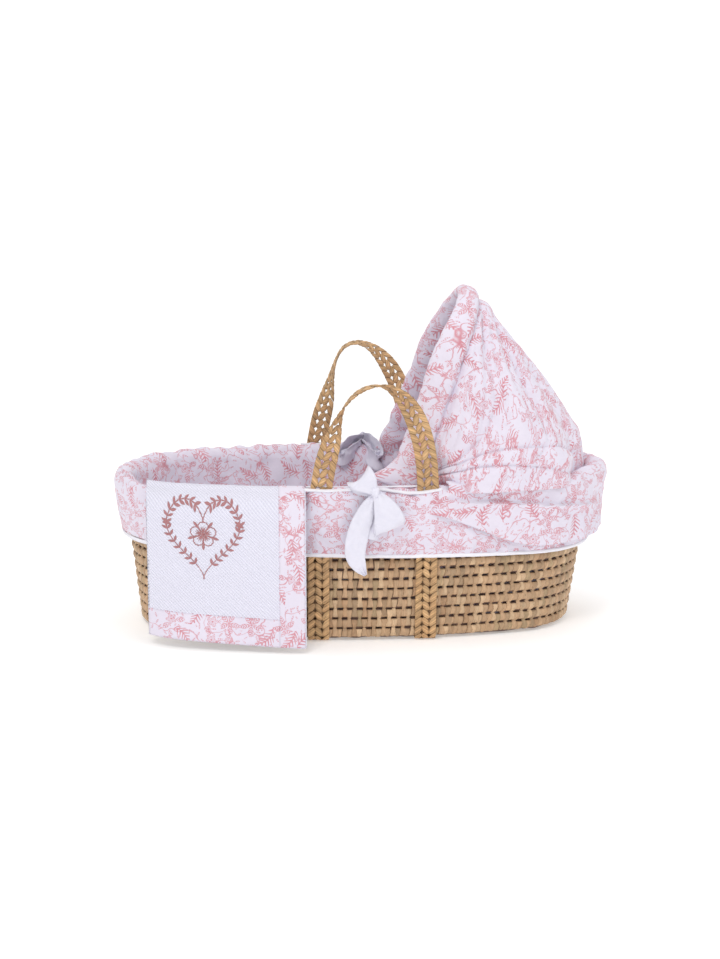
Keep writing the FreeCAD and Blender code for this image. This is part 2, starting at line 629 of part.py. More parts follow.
def make_blanket():
    """A folded blanket over the front edge near the foot: an outer drop, a bridge over the rim and an inner drop."""
    thick, gap = cell("blanket_thick"), cell("blanket_gap")
    thick_mm, gap_mm = size("blanket_thick"), size("blanket_gap")
    lean = flare_mm(roll_z)
    out_mm = lean + size("skirt_offset") + size("skirt_thick") + gap_mm
    out = f"({flare(ROLL)} + {cell('skirt_offset')} + {cell('skirt_thick')} + {gap})"
    top = f"({ROLL} + {cell('roll_thick')} + {gap})"
    outer = plain_ring("drop_outer", cell("blanket_foot"), f"{top} + {thick} - {cell('blanket_foot')}",
                       (out_mm + thick_mm, f"{out} + {thick}"), (out_mm, out), x="0")
    inside_mm = -(size("wall_thick") + 1.2 + size("course_pitch") * size("flare_slope") / 2
                  + size("liner_thick") + 2 * gap_mm)
    inside = (f"(0 - {cell('wall_thick')} - 1.2 - {cell('course_pitch')} * {cell('flare_slope')} / 2"
              f" - {cell('liner_thick')} - 2 * {gap})")
    bridge = plain_ring("bridge", top, thick, (out_mm + 1, f"{out} + 1"),
                        (lean + inside_mm - 1, f"{flare(ROLL)} + {inside} - 1"), x="0")
    del nodes["drop_outer"], nodes["bridge"]
    low = f"({ROLL} - {cell('blanket_inner_drop')})"
    inner = sloped_ring("drop_inner", (roll_z - size("blanket_inner_drop"), low),
                        (roll_top + gap_mm + thick_mm, f"({top} + {thick})"),
                        (inside_mm, inside), (inside_mm - thick_mm, f"{inside} - {thick}"), label=False)
    whole = fused("blanket_ring", [outer, bridge, inner])
    limits = box_of("blanket_limits", (cell("blanket_left_x"), -400, 0),
                    (f"{cell('blanket_right_x')} - {cell('blanket_left_x')}", "400 - 60", 400))
    boolean("Common", "blanket_body", whole, limits)
    trim, width = cell("trim_thick"), cell("border_width")
    skin_mm = out_mm + thick_mm + 0.2
    skin = f"({out} + {thick} + 0.2)"
    face = plain_ring("trim_ring", cell("blanket_foot"), f"{top} - {cell('blanket_foot')}",
                      (skin_mm + size("trim_thick"), f"{skin} + {trim}"), (skin_mm, skin), x="0")
    del nodes["trim_ring"]
    foot = box_of("border_foot", (cell("blanket_left_x"), -400, 0),
                  (f"{cell('blanket_right_x')} - {cell('blanket_left_x')}", 340, f"{cell('blanket_foot')} + {width}"))
    edge = box_of("border_edge", (f"{cell('blanket_right_x')} - {width}", -400, 0), (width, 340, 400))
    boolean("Common", "blanket_border", face, fused("border_area", [foot, edge]))
    middle_x = (size("blanket_left_x") + size("blanket_right_x") - size("border_width")) / 2
    middle_z = (roll_top + size("blanket_foot") + size("border_width")) / 2 + 14
    plug = cylinder("motif_area", cell("motif_half_width"), "200", V(middle_x, -160, middle_z), V(0, -1, 0))
    boolean("Common", "blanket_embroidery", face, plug)


# ---------------------------------------------------------------- ribbon bows
def ribbon_loop(y, z_centre, length, height, width, thick, turn, side):
    """One loop of a bow: an oval band that stands off the knot."""
    outer = Part.Wire(Part.Ellipse(V(0, 0, 0), length / 2, height / 2).toShape())
    inner = Part.Wire(Part.Ellipse(V(0, 0, 0), length / 2 - thick, height / 2 - thick).toShape())
    band = Part.makeFace([outer, inner], "Part::FaceMakerBullseye").extrude(V(0, 0, width))
    band.translate(V(side * (length / 2 + size("knot_radius") - 1), 0, -width / 2))
    band.rotate(V(0, 0, 0), V(1, 0, 0), 90)
    band.rotate(V(0, 0, 0), V(0, 1, 0), turn)
    band.translate(V(size("bow_x"), y, z_centre))
    return band


def make_bow(name, side):
    """A tied ribbon: a knot, two loops and two tails, standing just outside the skirt."""
    knot_z = roll_z - 2
    face = oval_y(size("bow_x"), roll_z, size("skirt_offset") + size("skirt_thick")) + size("bow_gap")
    knot = Part.makeSphere(size("knot_radius"), V(0, 0, 0))
    knot.translate(V(size("bow_x"), side * (face + size("knot_radius")), knot_z))
    solid_node(f"{name}_bow_knot", knot)
    y = side * (face + size("knot_radius"))
    width = 2 * size("knot_radius") - 2
    thick = size("ribbon_thick")
    loops = [ribbon_loop(y, knot_z, size("loop_length"), size("loop_height"), width, thick, turn, s)
             for turn, s in ((40, -1), (35, 1))]
    solid_node(f"{name}_bow_loops", Part.makeCompound([loop.cut(knot) for loop in loops]))
    tails = []
    for turn, length in ((16, size("tail_length")), (-5, size("tail_length") * 0.55)):
        strip = Part.makeBox(size("ribbon_width") * 0.55, size("ribbon_thick"), length,
                             V(-size("ribbon_width") * 0.275, -size("ribbon_thick") / 2,
                               -length - size("knot_radius") - 0.5))
        strip.rotate(V(0, 0, 0), V(0, 1, 0), turn)
        strip.translate(V(size("bow_x"), y + side * (3 if turn > 0 else -3), knot_z))
        tails.append(strip.cut(knot).cut(loops[1]))
    solid_node(f"{name}_bow_tails", Part.makeCompound(tails))


# ---------------------------------------------------------------- build, check and write
make_weave()
strap_ys = {f"strap_{end}_x": make_strap(f"strap_{end}", f"strap_{end}_x") for end in ("left", "right")}
hinge_y = sum(top for top, _ in strap_ys.values()) / 2
make_liner()
make_roll()
make_valance()
make_hoop()
make_canopy()
make_pivots()
make_mattress()
make_blanket()
make_handle("front_handle", -hinge_y, FRONT_ROUTE)
make_handle("rear_handle", hinge_y, REAR_ROUTE)
make_bow("front", -1)
make_bow("rear", 1)
doc.recompute()

for item in doc.Objects:
    if {"Invalid", "Error"} & set(item.State):
        raise SystemExit(f"{item.Label} failed: {item.State}")
os.makedirs("parts", exist_ok=True)
for old in os.listdir("parts"):
    os.remove(os.path.join("parts", old))
for name, item in sorted(nodes.items()):
    shape = item.Shape
    if shape.isNull() or not shape.isValid() or not shape.Solids or shape.Volume <= 0:
        raise SystemExit(f"{name} has no sound shape")
    shape.exportStep(f"parts/{name}.step")
    print(f"{name}: {len(shape.Solids)} solid(s), {shape.Volume / 1000:.1f} cm3")
print(f"hinge line y {hinge_y:.2f} z {hinge_z:.2f}, pivot x {size('pivot_x')} z {pivot_z:.2f}, rim {rim_z:.2f}, "
      f"roll {roll_z:.2f} to {roll_top:.2f}")
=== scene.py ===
import json
import math

import bpy
import numpy as np
from mathutils import Matrix, Vector, noise

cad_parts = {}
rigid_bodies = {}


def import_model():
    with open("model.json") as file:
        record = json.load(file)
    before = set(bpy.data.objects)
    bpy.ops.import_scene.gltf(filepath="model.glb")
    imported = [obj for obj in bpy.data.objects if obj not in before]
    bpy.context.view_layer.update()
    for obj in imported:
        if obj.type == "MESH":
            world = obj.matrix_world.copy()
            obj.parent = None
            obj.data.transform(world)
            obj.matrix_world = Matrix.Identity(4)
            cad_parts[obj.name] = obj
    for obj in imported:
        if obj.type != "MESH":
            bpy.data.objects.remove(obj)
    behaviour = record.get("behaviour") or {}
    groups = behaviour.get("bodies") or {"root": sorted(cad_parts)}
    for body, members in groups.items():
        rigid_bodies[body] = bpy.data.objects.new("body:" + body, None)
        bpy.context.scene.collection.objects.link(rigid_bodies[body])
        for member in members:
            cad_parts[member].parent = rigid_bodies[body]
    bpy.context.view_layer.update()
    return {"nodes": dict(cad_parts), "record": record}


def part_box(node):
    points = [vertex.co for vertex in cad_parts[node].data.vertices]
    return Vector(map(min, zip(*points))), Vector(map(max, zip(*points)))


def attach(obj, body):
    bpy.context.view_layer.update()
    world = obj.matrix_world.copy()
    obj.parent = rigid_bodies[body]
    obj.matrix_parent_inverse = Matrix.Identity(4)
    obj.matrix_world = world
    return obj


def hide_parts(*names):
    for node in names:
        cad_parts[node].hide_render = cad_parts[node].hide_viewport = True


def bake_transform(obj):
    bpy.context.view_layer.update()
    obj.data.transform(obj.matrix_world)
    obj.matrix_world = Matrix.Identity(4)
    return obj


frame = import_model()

rng = np.random.default_rng(11)
TURN = 2 * math.pi

# ---------------------------------------------------------------- measures, in metres, worked out from the frame
def centre(node, axis):
    low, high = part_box(node)
    return (low[axis] + high[axis]) / 2


def half_size(node, axis):
    low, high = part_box(node)
    return (high[axis] - low[axis]) / 2


COURSES = 14
END_RADIUS = 0.133                      # of the base oval's round ends
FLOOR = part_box("base_weave")[0][2]
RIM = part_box("rim_braid")[0][2]
PITCH = (RIM - FLOOR) / COURSES
RIM_LEVEL = 0.27                        # the height at which the rim's line is taken
ROLL_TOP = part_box("liner_rim_roll")[1][2]
STRAP_THICK = 0.005
STRAP_MIDDLES = [centre("strap_left", 0), centre("strap_right", 0)]
FIRST, LAST = "wall_course_01", f"wall_course_{COURSES}"
FIRST_LEVEL, FIRST_SHIFT = centre(FIRST, 2), centre(FIRST, 0)
RISE = centre(LAST, 2) - FIRST_LEVEL
SLOPE = (half_size(LAST, 1) - half_size(FIRST, 1)) / RISE
SHIFT_SLOPE = (centre(LAST, 0) - FIRST_SHIFT) / RISE
BASE_HALF_WIDTH = half_size(FIRST, 1) - SLOPE * (FIRST_LEVEL - FLOOR)
BASE_HALF_LENGTH = half_size(FIRST, 0) - SLOPE * (FIRST_LEVEL - FLOOR)
END_CENTRE = BASE_HALF_LENGTH - END_RADIUS
SIDE_RADIUS = (END_CENTRE**2 + BASE_HALF_WIDTH**2 - END_RADIUS**2) / (2 * (BASE_HALF_WIDTH - END_RADIUS))
SIDE_CENTRE = SIDE_RADIUS - BASE_HALF_WIDTH
END_SPAN = math.atan2(SIDE_CENTRE, END_CENTRE)


def flare(z):
    """How far the wall's outer face has leaned out at height z."""
    return SLOPE * (np.asarray(z, float) - FLOOR)


def shift(z):
    """The oval's centre at height z."""
    return FIRST_SHIFT + SHIFT_SLOPE * (np.asarray(z, float) - FIRST_LEVEL)


def oval(turn, grow):
    """Points and outward normals of the base oval grown by grow. turn 0 is the rear's middle, 0.25 the foot end,
    0.5 the front's middle and 0.75 the head end."""
    turn, grow = np.broadcast_arrays(np.asarray(turn, float) % 1, np.asarray(grow, float))
    end_r, side_r = END_RADIUS + grow, SIDE_RADIUS + grow
    side = side_r * (math.pi / 2 - END_SPAN)
    quarter = side + end_r * END_SPAN
    along = turn * 4 * quarter
    part = np.minimum((along // quarter).astype(int), 3)
    along = along - part * quarter
    along = np.where(part % 2 == 0, along, quarter - along)
    on_side = along < side
    angle = np.where(on_side, along / side_r, side / side_r + (along - side) / end_r)
    nx, ny = np.sin(angle), np.cos(angle)
    x = np.where(on_side, side_r * nx, END_CENTRE + end_r * nx)
    y = np.where(on_side, side_r * ny - SIDE_CENTRE, end_r * ny)
    sx = np.where((part == 0) | (part == 1), -1, 1)
    sy = np.where((part == 0) | (part == 3), 1, -1)
    return sx * x, sy * y, sx * nx, sy * ny


def perimeter(grow):
    return 4 * ((SIDE_RADIUS + grow) * (math.pi / 2 - END_SPAN) + (END_RADIUS + grow) * END_SPAN)


def shell(turn, z, out):
    """Points at height z, out metres outside the wall's outer face."""
    turn, z, out = np.broadcast_arrays(turn, z, out)
    x, y, _, _ = oval(turn, flare(z) + out)
    return np.stack([x + shift(z), y, z], -1)


def turn_at(x, side, z=RIM_LEVEL):
    """The turn of the point at x on the front (-1) or rear (1) long side."""
    grow = float(flare(z))
    along = (SIDE_RADIUS + grow) * math.asin((x - float(shift(z))) / (SIDE_RADIUS + grow))
    return 0.5 + along / perimeter(grow) if side < 0 else -along / perimeter(grow)


def side_y(x, z, out=0.0):
    """How far the wall's outer face is from the middle plane at x, on a long side."""
    radius = SIDE_RADIUS + float(flare(z)) + out
    return math.sqrt(radius**2 - (x - float(shift(z))) ** 2) - SIDE_CENTRE


def rim_y(x, out):
    """How far the rim's line, moved out metres, is from the middle plane at x, round the ends too."""
    grow = float(flare(RIM_LEVEL)) + out
    along = np.abs(np.asarray(x, float))
    on_side = along < (SIDE_RADIUS + grow) * math.cos(END_SPAN)
    end = np.clip(along - END_CENTRE, 0, (END_RADIUS + grow) * 0.98)
    return np.where(on_side, np.sqrt((SIDE_RADIUS + grow) ** 2 - np.minimum(along, 0.5) ** 2) - SIDE_CENTRE,
                    np.sqrt((END_RADIUS + grow) ** 2 - end**2))


def wobble(points, size, seed=0.0):
    """Smooth noise from -1 to 1 at each point, with features of about that size in metres."""
    flat = np.asarray(points, float).reshape(-1, 3) / size
    values = [noise.noise(Vector((p[0] + seed, p[1] - seed, p[2] + 0.37 * seed))) for p in flat]
    return np.array(values).reshape(np.asarray(points).shape[:-1])


def smoothstep(low, high, value):
    t = np.clip((np.asarray(value, float) - low) / (high - low), 0, 1)
    return t * t * (3 - 2 * t)


def lengths(grid, axis=0):
    """How far each point is along an axis of a line or grid of points."""
    steps = np.linalg.norm(np.diff(grid, axis=axis), axis=-1)
    return np.insert(np.cumsum(steps, axis), 0, 0, axis)


def tangents(line):
    tangent = np.gradient(line, axis=0)
    return tangent / np.linalg.norm(tangent, axis=1)[:, None]


def side_of(path):
    """The unit normals of a path of two coordinates, on its left."""
    tangent = tangents(path)
    return np.stack([-tangent[:, 1], tangent[:, 0]], -1)


def columns_at(s, along, table):
    """A table's columns where along reaches s."""
    return [np.interp(s, along, column) for column in table.T]


def smooth_line(knots, samples):
    """A Catmull-Rom line through the knots."""
    knots = np.array(knots, float)
    padded = np.vstack([2 * knots[0] - knots[1], knots, 2 * knots[-1] - knots[-2]])
    line = []
    for t in np.linspace(0, len(knots) - 1 - 1e-9, samples):
        n, f = int(t), t - int(t)
        p0, p1, p2, p3 = padded[n:n + 4]
        line.append(0.5 * (2 * p1 + (p2 - p0) * f + (2 * p0 - 5 * p1 + 4 * p2 - p3) * f * f
                           + (3 * p1 - p0 - 3 * p2 + p3) * f**3))
    return np.array(line)


# ---------------------------------------------------------------- mesh helpers
def make_object(name, points, faces, uv=None, tint=None, material=None, smooth=True):
    """A mesh object. uv and tint hold one value per point; a seam's uv is given per face corner instead."""
    mesh = bpy.data.meshes.new(name)
    mesh.from_pydata(np.asarray(points, float).reshape(-1, 3).tolist(), [], faces)
    corners = np.empty(len(mesh.loops), int)
    mesh.loops.foreach_get("vertex_index", corners)
    if uv is not None:
        layer = mesh.uv_layers.new(name="cloth")
        uv = np.asarray(uv, float).reshape(-1, 2)
        values = uv if len(uv) == len(corners) and len(uv) != len(mesh.vertices) else uv[corners]
        layer.data.foreach_set("uv", values.ravel())
    if tint is not None:
        colours = np.ones((len(mesh.vertices), 4))
        colours[:, :3] = np.asarray(tint, float).reshape(-1, 3)
        mesh.color_attributes.new("tint", "FLOAT_COLOR", "POINT").data.foreach_set("color", colours.ravel())
    mesh.polygons.foreach_set("use_smooth", [smooth] * len(mesh.polygons))
    mesh.validate()
    mesh.update()
    made = bpy.data.objects.new(name, mesh)
    bpy.context.scene.collection.objects.link(made)
    if material:
        mesh.materials.append(material)
    return made


def grid_faces(rows, columns, wrap_rows=False, wrap_columns=False, start=0):
    """Quads over a grid of points stored row by row."""
    faces = []
    for i in range(rows if wrap_rows else rows - 1):
        for j in range(columns if wrap_columns else columns - 1):
            a, b = i * columns + j, i * columns + (j + 1) % columns
            c, d = ((i + 1) % rows) * columns + (j + 1) % columns, ((i + 1) % rows) * columns + j
            faces.append((start + a, start + b, start + c, start + d))
    return faces


def sweep(name, grid, uv=None, closed=False, ring=False, material=None, tint=None):
    """A grid of points as a surface. closed joins the last row to the first, ring the last column to the first.

    uv has one more row or column than the grid where that way is joined, so that the seam doesn't smear."""
    rows, columns = grid.shape[:2]
    faces = grid_faces(rows, columns, closed, ring)
    corner_uv = None
    if uv is not None:
        last_row, last_column = (rows if closed else rows - 1), (columns if ring else columns - 1)
        corner_uv = np.array([
            [uv[i, j], uv[i, j + 1], uv[i + 1, j + 1], uv[i + 1, j]]
            for i in range(last_row) for j in range(last_column)
        ]).reshape(-1, 2)
    return make_object(name, grid, faces, corner_uv, tint, material)


def cap(obj, rings, planar=True):
    """Closes a surface with a flat face over each ring of point numbers."""
    mesh = obj.data
    points = [v.co[:] for v in mesh.vertices]
    faces = [tuple(p.vertices) for p in mesh.polygons] + rings
    uv = [corner.uv[:] for corner in mesh.uv_layers[0].data]
    uv += [(points[n][0] + points[n][1], points[n][2]) if planar else (0, 0) for ring in rings for n in ring]
    made = make_object("scratch", points, faces, np.array(uv), None, mesh.materials[0])
    obj.data = made.data
    bpy.data.objects.remove(made)


def cap_tube(obj, rows, columns):
    """Closes the two ends of a tube whose rows run round it."""
    first = range(0, rows * columns, columns)
    cap(obj, [tuple(first), tuple(n + columns - 1 for n in reversed(first))])


def cap_bowl(obj, rows, columns):
    """Closes the first and last ring of a surface whose columns run round it."""
    cap(obj, [tuple(reversed(range(columns))), tuple(range((rows - 1) * columns, rows * columns))], planar=False)


def uv_grid(across, down):
    return np.stack(np.meshgrid(across, down), -1)


def ring_and_turns(ring, turns):
    """The angle round a tube and the turn along it, for a grid whose rows run round the tube."""
    return np.meshgrid(np.arange(ring) / ring * TURN, turns, indexing="ij")


def finish_piece(obj, body, replaces=()):
    if body:
        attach(obj, body)
    if replaces:
        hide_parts(*replaces)
    return obj


# ---------------------------------------------------------------- materials
class Shader:
    """Short names for a material's nodes. Every value is a socket or a number."""

    def __init__(self, name):
        self.material = bpy.data.materials.new(name)
        self.material.use_nodes = True
        self.tree = self.material.node_tree
        self.base = self.tree.nodes["Principled BSDF"]

    def node(self, kind, **settings):
        made = self.tree.nodes.new(kind)
        for key, value in settings.items():
            setattr(made, key, value)
        return made

    def feed(self, socket, value):
        if isinstance(value, bpy.types.NodeSocket):
            self.tree.links.new(value, socket)
        else:
            socket.default_value = value

    def math(self, operation, *values, clamp=False):
        made = self.node("ShaderNodeMath", operation=operation, use_clamp=clamp)
        for socket, value in zip(made.inputs, values):
            self.feed(socket, value)
        return made.outputs[0]

    def vector(self, operation, *values):
        made = self.node("ShaderNodeVectorMath", operation=operation)
        for socket, value in zip(made.inputs, values):
            self.feed(socket, value)
        return made.outputs["Value" if operation in ("LENGTH", "DISTANCE", "DOT_PRODUCT") else "Vector"]

    def scaled(self, vector, factor):
        made = self.node("ShaderNodeVectorMath", operation="SCALE")
        self.feed(made.inputs[0], vector)
        self.feed(made.inputs["Scale"], factor)
        return made.outputs["Vector"]

    def parts(self, vector):
        made = self.node("ShaderNodeSeparateXYZ")
        self.feed(made.inputs[0], vector)
        return made.outputs

    def joined(self, x, y, z=0.0):
        made = self.node("ShaderNodeCombineXYZ")
        for socket, value in zip(made.inputs, (x, y, z)):
            self.feed(socket, value)
        return made.outputs[0]

    def mix(self, share, a, b, blend="MIX"):
        made = self.node("ShaderNodeMix", data_type="RGBA", blend_type=blend)
        self.feed(made.inputs["Factor"], share)
        self.feed(made.inputs[6], a)
        self.feed(made.inputs[7], b)
        return made.outputs[2]

    def noise(self, vector, scale, detail=2.0, rough=0.5):
        made = self.node("ShaderNodeTexNoise", noise_dimensions="3D")
        self.feed(made.inputs["Vector"], vector)
        for key, value in (("Scale", scale), ("Detail", detail), ("Roughness", rough)):
            made.inputs[key].default_value = value
        return made.outputs

    def cells(self, vector, scale, randomness=0.8):
        made = self.node("ShaderNodeTexVoronoi", voronoi_dimensions="2D", feature="F1")
        self.feed(made.inputs["Vector"], vector)
        made.inputs["Scale"].default_value = scale
        made.inputs["Randomness"].default_value = randomness
        return made.outputs

    def below(self, value, limit, soft):
        """1 where value is under limit, 0 over it, with a soft edge."""
        made = self.node("ShaderNodeMapRange", interpolation_type="SMOOTHSTEP", clamp=True)
        self.feed(made.inputs["Value"], value)
        high = self.math("ADD", limit, soft)
        low = self.math("SUBTRACT", limit, soft)
        self.feed(made.inputs["From Min"], low)
        self.feed(made.inputs["From Max"], high)
        made.inputs["To Min"].default_value = 1.0
        made.inputs["To Max"].default_value = 0.0
        return made.outputs["Result"]

    def uv(self):
        return self.node("ShaderNodeUVMap", uv_map="cloth").outputs[0]

    def place(self):
        return self.node("ShaderNodeTexCoord").outputs["Object"]

    def bump(self, height, strength, distance, normal=None):
        made = self.node("ShaderNodeBump")
        made.inputs["Strength"].default_value = strength
        made.inputs["Distance"].default_value = distance
        self.feed(made.inputs["Height"], height)
        if normal is not None:
            self.feed(made.inputs["Normal"], normal)
        return made.outputs[0]

    def finish(self, colour=None, roughness=None, normal=None, **fixed):
        for key, value in (("Base Color", colour), ("Roughness", roughness), ("Normal", normal)):
            if value is not None:
                self.feed(self.base.inputs[key], value)
        for key, value in fixed.items():
            self.base.inputs[key.replace("_", " ").title()].default_value = value
        return self.material


def palm_material(name, dark=0.30, contrast=0.9):
    """Dried palm: fibres along the strip, darker scars, and each strip's own tint, which on the braids also carries
    painted shade at each leaf's edges.
    """
    s = Shader(name)
    u, v, _ = s.parts(s.uv())

    def streaks(across, along, detail=2.0, rough=0.5):
        return s.noise(s.joined(s.math("MULTIPLY", u, across), s.math("MULTIPLY", v, along)), 1.0, detail, rough)[0]

    fibres, blotch = streaks(900.0, 45.0, 3.0, 0.6), streaks(120.0, 60.0)
    tint = s.node("ShaderNodeVertexColor", layer_name="tint").outputs[0]
    shade = s.math("MULTIPLY_ADD", fibres, contrast, 0.88 - contrast / 2)
    shade = s.math("MULTIPLY", shade, s.math("MULTIPLY_ADD", blotch, 0.5, 0.75))
    colour = s.mix(1.0, tint, s.joined(shade, shade, shade), "MULTIPLY")
    scars = s.below(streaks(260.0, 90.0), dark, 0.04)
    colour = s.mix(s.math("MULTIPLY", scars, 0.6), colour, (0.13, 0.075, 0.035, 1))
    rough = s.math("MULTIPLY_ADD", fibres, 0.25, 0.42)
    return s.finish(colour, rough, s.bump(fibres, 0.5, 0.0006))


# ---------------------------------------------------------------- woven palm
PALM_TINTS = np.array([(0.60, 0.385, 0.225), (0.52, 0.33, 0.185), (0.74, 0.52, 0.32), (0.50, 0.36, 0.20),
                       (0.50, 0.29, 0.155), (0.40, 0.27, 0.16)])
PALM_SHARES = np.array([0.34, 0.22, 0.20, 0.10, 0.07, 0.07])
STRIP_PITCH = 0.0178
NECK, SPREAD = 0.18, 0.150              # a strip's half width at its neck, and what it gains by its end, in pitches


def draws(count):
    """A function that draws one number for each of count strips, between its two limits."""
    return lambda low, high: rng.uniform(low, high, (count, 1, 1))


def strip_tints(count, calm=0.35):
    picked = PALM_TINTS[rng.choice(len(PALM_TINTS), count, p=PALM_SHARES)]
    picked = picked + (PALM_SHARES @ PALM_TINTS - picked) * calm
    return picked * rng.uniform(0.84, 1.12, (count, 1))


def strip_grid(count):
    """(v, w, tuck, edge) of a strip's points: v runs over two courses, w across, tuck and edge turn them in."""
    v = np.array([-0.87, -0.84, -0.74, -0.55, -0.3, -0.12, 0, 0.12, 0.3, 0.55, 0.74, 0.84, 0.87])
    w = np.array([-1, -1, -0.55, 0, 0.55, 1, 1])
    tuck = (np.abs(v) > 0.86).astype(float)
    edge = np.array([1, 0, 0, 0, 0, 0, 1.0])
    parts = v[None, :, None], w[None, None, :], tuck[None, :, None], edge[None, None, :]
    return [np.broadcast_to(part, (count, len(v), len(w))) for part in parts]


def strips_mesh(points, u, v, tints, ring=False):
    """Points, faces, uv and tint for a stack of equal grids, one per strip. ring joins each one's columns."""
    count, rows, columns = points.shape[:3]
    one = np.array(grid_faces(rows, columns, False, ring))
    faces = (one[None] + (np.arange(count) * rows * columns)[:, None, None]).reshape(-1, 4)
    uv = np.stack([u, v], -1).reshape(-1, 2)
    tint = np.broadcast_to(tints[:, None, None, :], points.shape).reshape(-1, 3)
    return points.reshape(-1, 3), faces.tolist(), uv, tint


def merged(first, second):
    """Two meshes' points, faces, uv and tint in one. The second's faces already count on from the first's points."""
    return [a + b if isinstance(a, list) else np.concatenate([a, b]) for a, b in zip(first, second)]


def woven_course(number, material):
    """One woven row: its cord, and the palm strips that are pinched along its lower edge."""
    line = number - 1
    level = FLOOR + line * PITCH
    around = perimeter(float(flare(level)))
    count = round(perimeter(float(flare((FLOOR + RIM) / 2))) / STRIP_PITCH)
    v, w, tuck, edge = strip_grid(count)
    own = draws(count)
    neck = (np.arange(count) + 0.5 * (line % 2))[:, None, None] + own(-0.05, 0.05)
    half = NECK + SPREAD * np.abs(v) ** 0.8 + own(-0.02, 0.02)
    lean = own(-0.06, 0.06)
    turn = (neck + w * half + lean * v) / count
    z = level + v * PITCH * (1 + own(-0.02, 0.02)) + own(-0.0006, 0.0006)
    lift = -0.0034 + 0.0040 * np.sin(math.pi * np.abs(v)) ** 0.7 + own(-0.0004, 0.0004)
    out = lift - 0.0008 * w**2 - 0.0012 * edge - 0.0028 * tuck
    below = np.maximum(FLOOR + 0.0004 - z, 0)
    z, out = z + below, out - below
    points = shell(turn, z, out)
    u = w * half * around / count + own(0, 3)
    strips = strips_mesh(points, u, v * PITCH + own(0, 3), strip_tints(count))
    cord = cord_ring(level + PITCH / 2, len(strips[0]))
    made = make_object(f"woven_course_{number:02d}", *merged(strips, cord), material=material)
    return finish_piece(made, "basket", [f"wall_course_{number:02d}"])


CORD_STEPS, CORD_RING = 420, 8          # points along a cord and round it
# dark brown: partly the core's own colour, partly painted shade seen in the slits between the strips
CORD_COLOUR_AND_SLIT_SHADE = (0.15, 0.085, 0.065)


def cord_ring(level, start):
    """The stiff bundle of fibre that a course is woven round."""
    turns, round_ = np.meshgrid(np.arange(CORD_STEPS) / CORD_STEPS, np.arange(CORD_RING) / CORD_RING * TURN,
                                indexing="ij")
    centre_line = shell(turns, np.full_like(turns, level), -0.0048)
    thick = 0.99 + 0.30 * wobble(centre_line, 0.026, level * 900)
    z = level + 0.0084 * thick * np.sin(round_)
    points = shell(turns, z, -0.0048 + 0.0026 * np.cos(round_) - SLOPE * (z - level))
    faces = grid_faces(CORD_STEPS, CORD_RING, True, True, start)
    uv = np.stack([round_ * 0.004, turns * 2], -1).reshape(-1, 2)
    return points.reshape(-1, 3), faces, uv, np.tile(CORD_COLOUR_AND_SLIT_SHADE, (turns.size, 1))


BASE_GROW = -0.0084                     # the woven base's edge, inside the wall's outer face
PLATE_STEPS = 160
# darker than the strips: painted shade seen in the gaps between the base's strips
PLATE_SHADE_COLOUR = (0.30, 0.20, 0.11)


def woven_base(material):
    """The flat woven bottom: the same pinched strips, laid in straight rows across the oval on a plain plate whose
    dark brown is painted shade in the gaps between them.
    """
    low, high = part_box("base_weave")
    middle = float(shift(FLOOR))
    end_r, side_r = END_RADIUS + BASE_GROW, SIDE_RADIUS + BASE_GROW
    rows = int((high[1] - low[1]) / PITCH) + 2
    columns = int((high[0] - low[0]) / STRIP_PITCH) + 2
    chosen = []
    for r in range(rows):
        for c in range(columns):
            x, y = low[0] + (c + 0.5 * (r % 2)) * STRIP_PITCH, low[1] + r * PITCH
            end = max(abs(x - middle) - END_CENTRE, 0)
            half_width = (math.sqrt(max(end_r**2 - end**2, 0)) if end > 0 else
                          math.sqrt(side_r**2 - (x - middle) ** 2) - SIDE_CENTRE)
            if abs(y) < half_width - 0.005 and end < end_r - 0.008:
                chosen.append((x, y, half_width))
    chosen = np.array(chosen)
    count = len(chosen)
    v, w, tuck, edge = strip_grid(count)
    own = draws(count)
    half = (NECK + SPREAD * np.abs(v) + own(-0.02, 0.02)) * STRIP_PITCH
    x = chosen[:, 0, None, None] + w * half + own(-0.0008, 0.0008)
    limit = chosen[:, 2, None, None]
    y = np.clip(chosen[:, 1, None, None] + v * PITCH, -limit, limit)
    drop = 0.0026 * np.sin(math.pi * np.abs(v)) ** 0.7 - 0.0010 * w**2 - 0.0012 * edge - 0.002 * tuck
    points = np.stack([x, y, np.broadcast_to(low[2] + 0.0032, x.shape) - drop], -1)
    strips = strips_mesh(points, w * half + own(0, 3), v * PITCH + own(0, 3), strip_tints(count))
    ring = oval(np.arange(PLATE_STEPS) / PLATE_STEPS, BASE_GROW - 0.001)[:2]
    points = np.array([[(a + middle, b, z) for a, b in zip(*ring)]
                       for z in (low[2] + 0.0045, high[2])]).reshape(-1, 3)
    start = len(strips[0])
    faces = grid_faces(2, PLATE_STEPS, False, True, start)
    faces += [tuple(range(start, start + PLATE_STEPS)),
              tuple(range(start + 2 * PLATE_STEPS - 1, start + PLATE_STEPS - 1, -1))]
    plate = points, faces, points[:, :2], np.tile(PLATE_SHADE_COLOUR, (len(points), 1))
    made = make_object("woven_base", *merged(strips, plate), material=material)
    return finish_piece(made, "basket", ["base_weave"])


# ---------------------------------------------------------------- braided straps and handles
BRAID_PITCH = 0.0150
COLUMN = 0.0121                         # between the middles of the braid's three columns
LEAF_REACH = 0.0065                     # half a leaf's length across the strap
LEAF_TILT = 0.70
LEAF_ROWS, LEAF_RING = 9, 16            # points along a leaf and round it


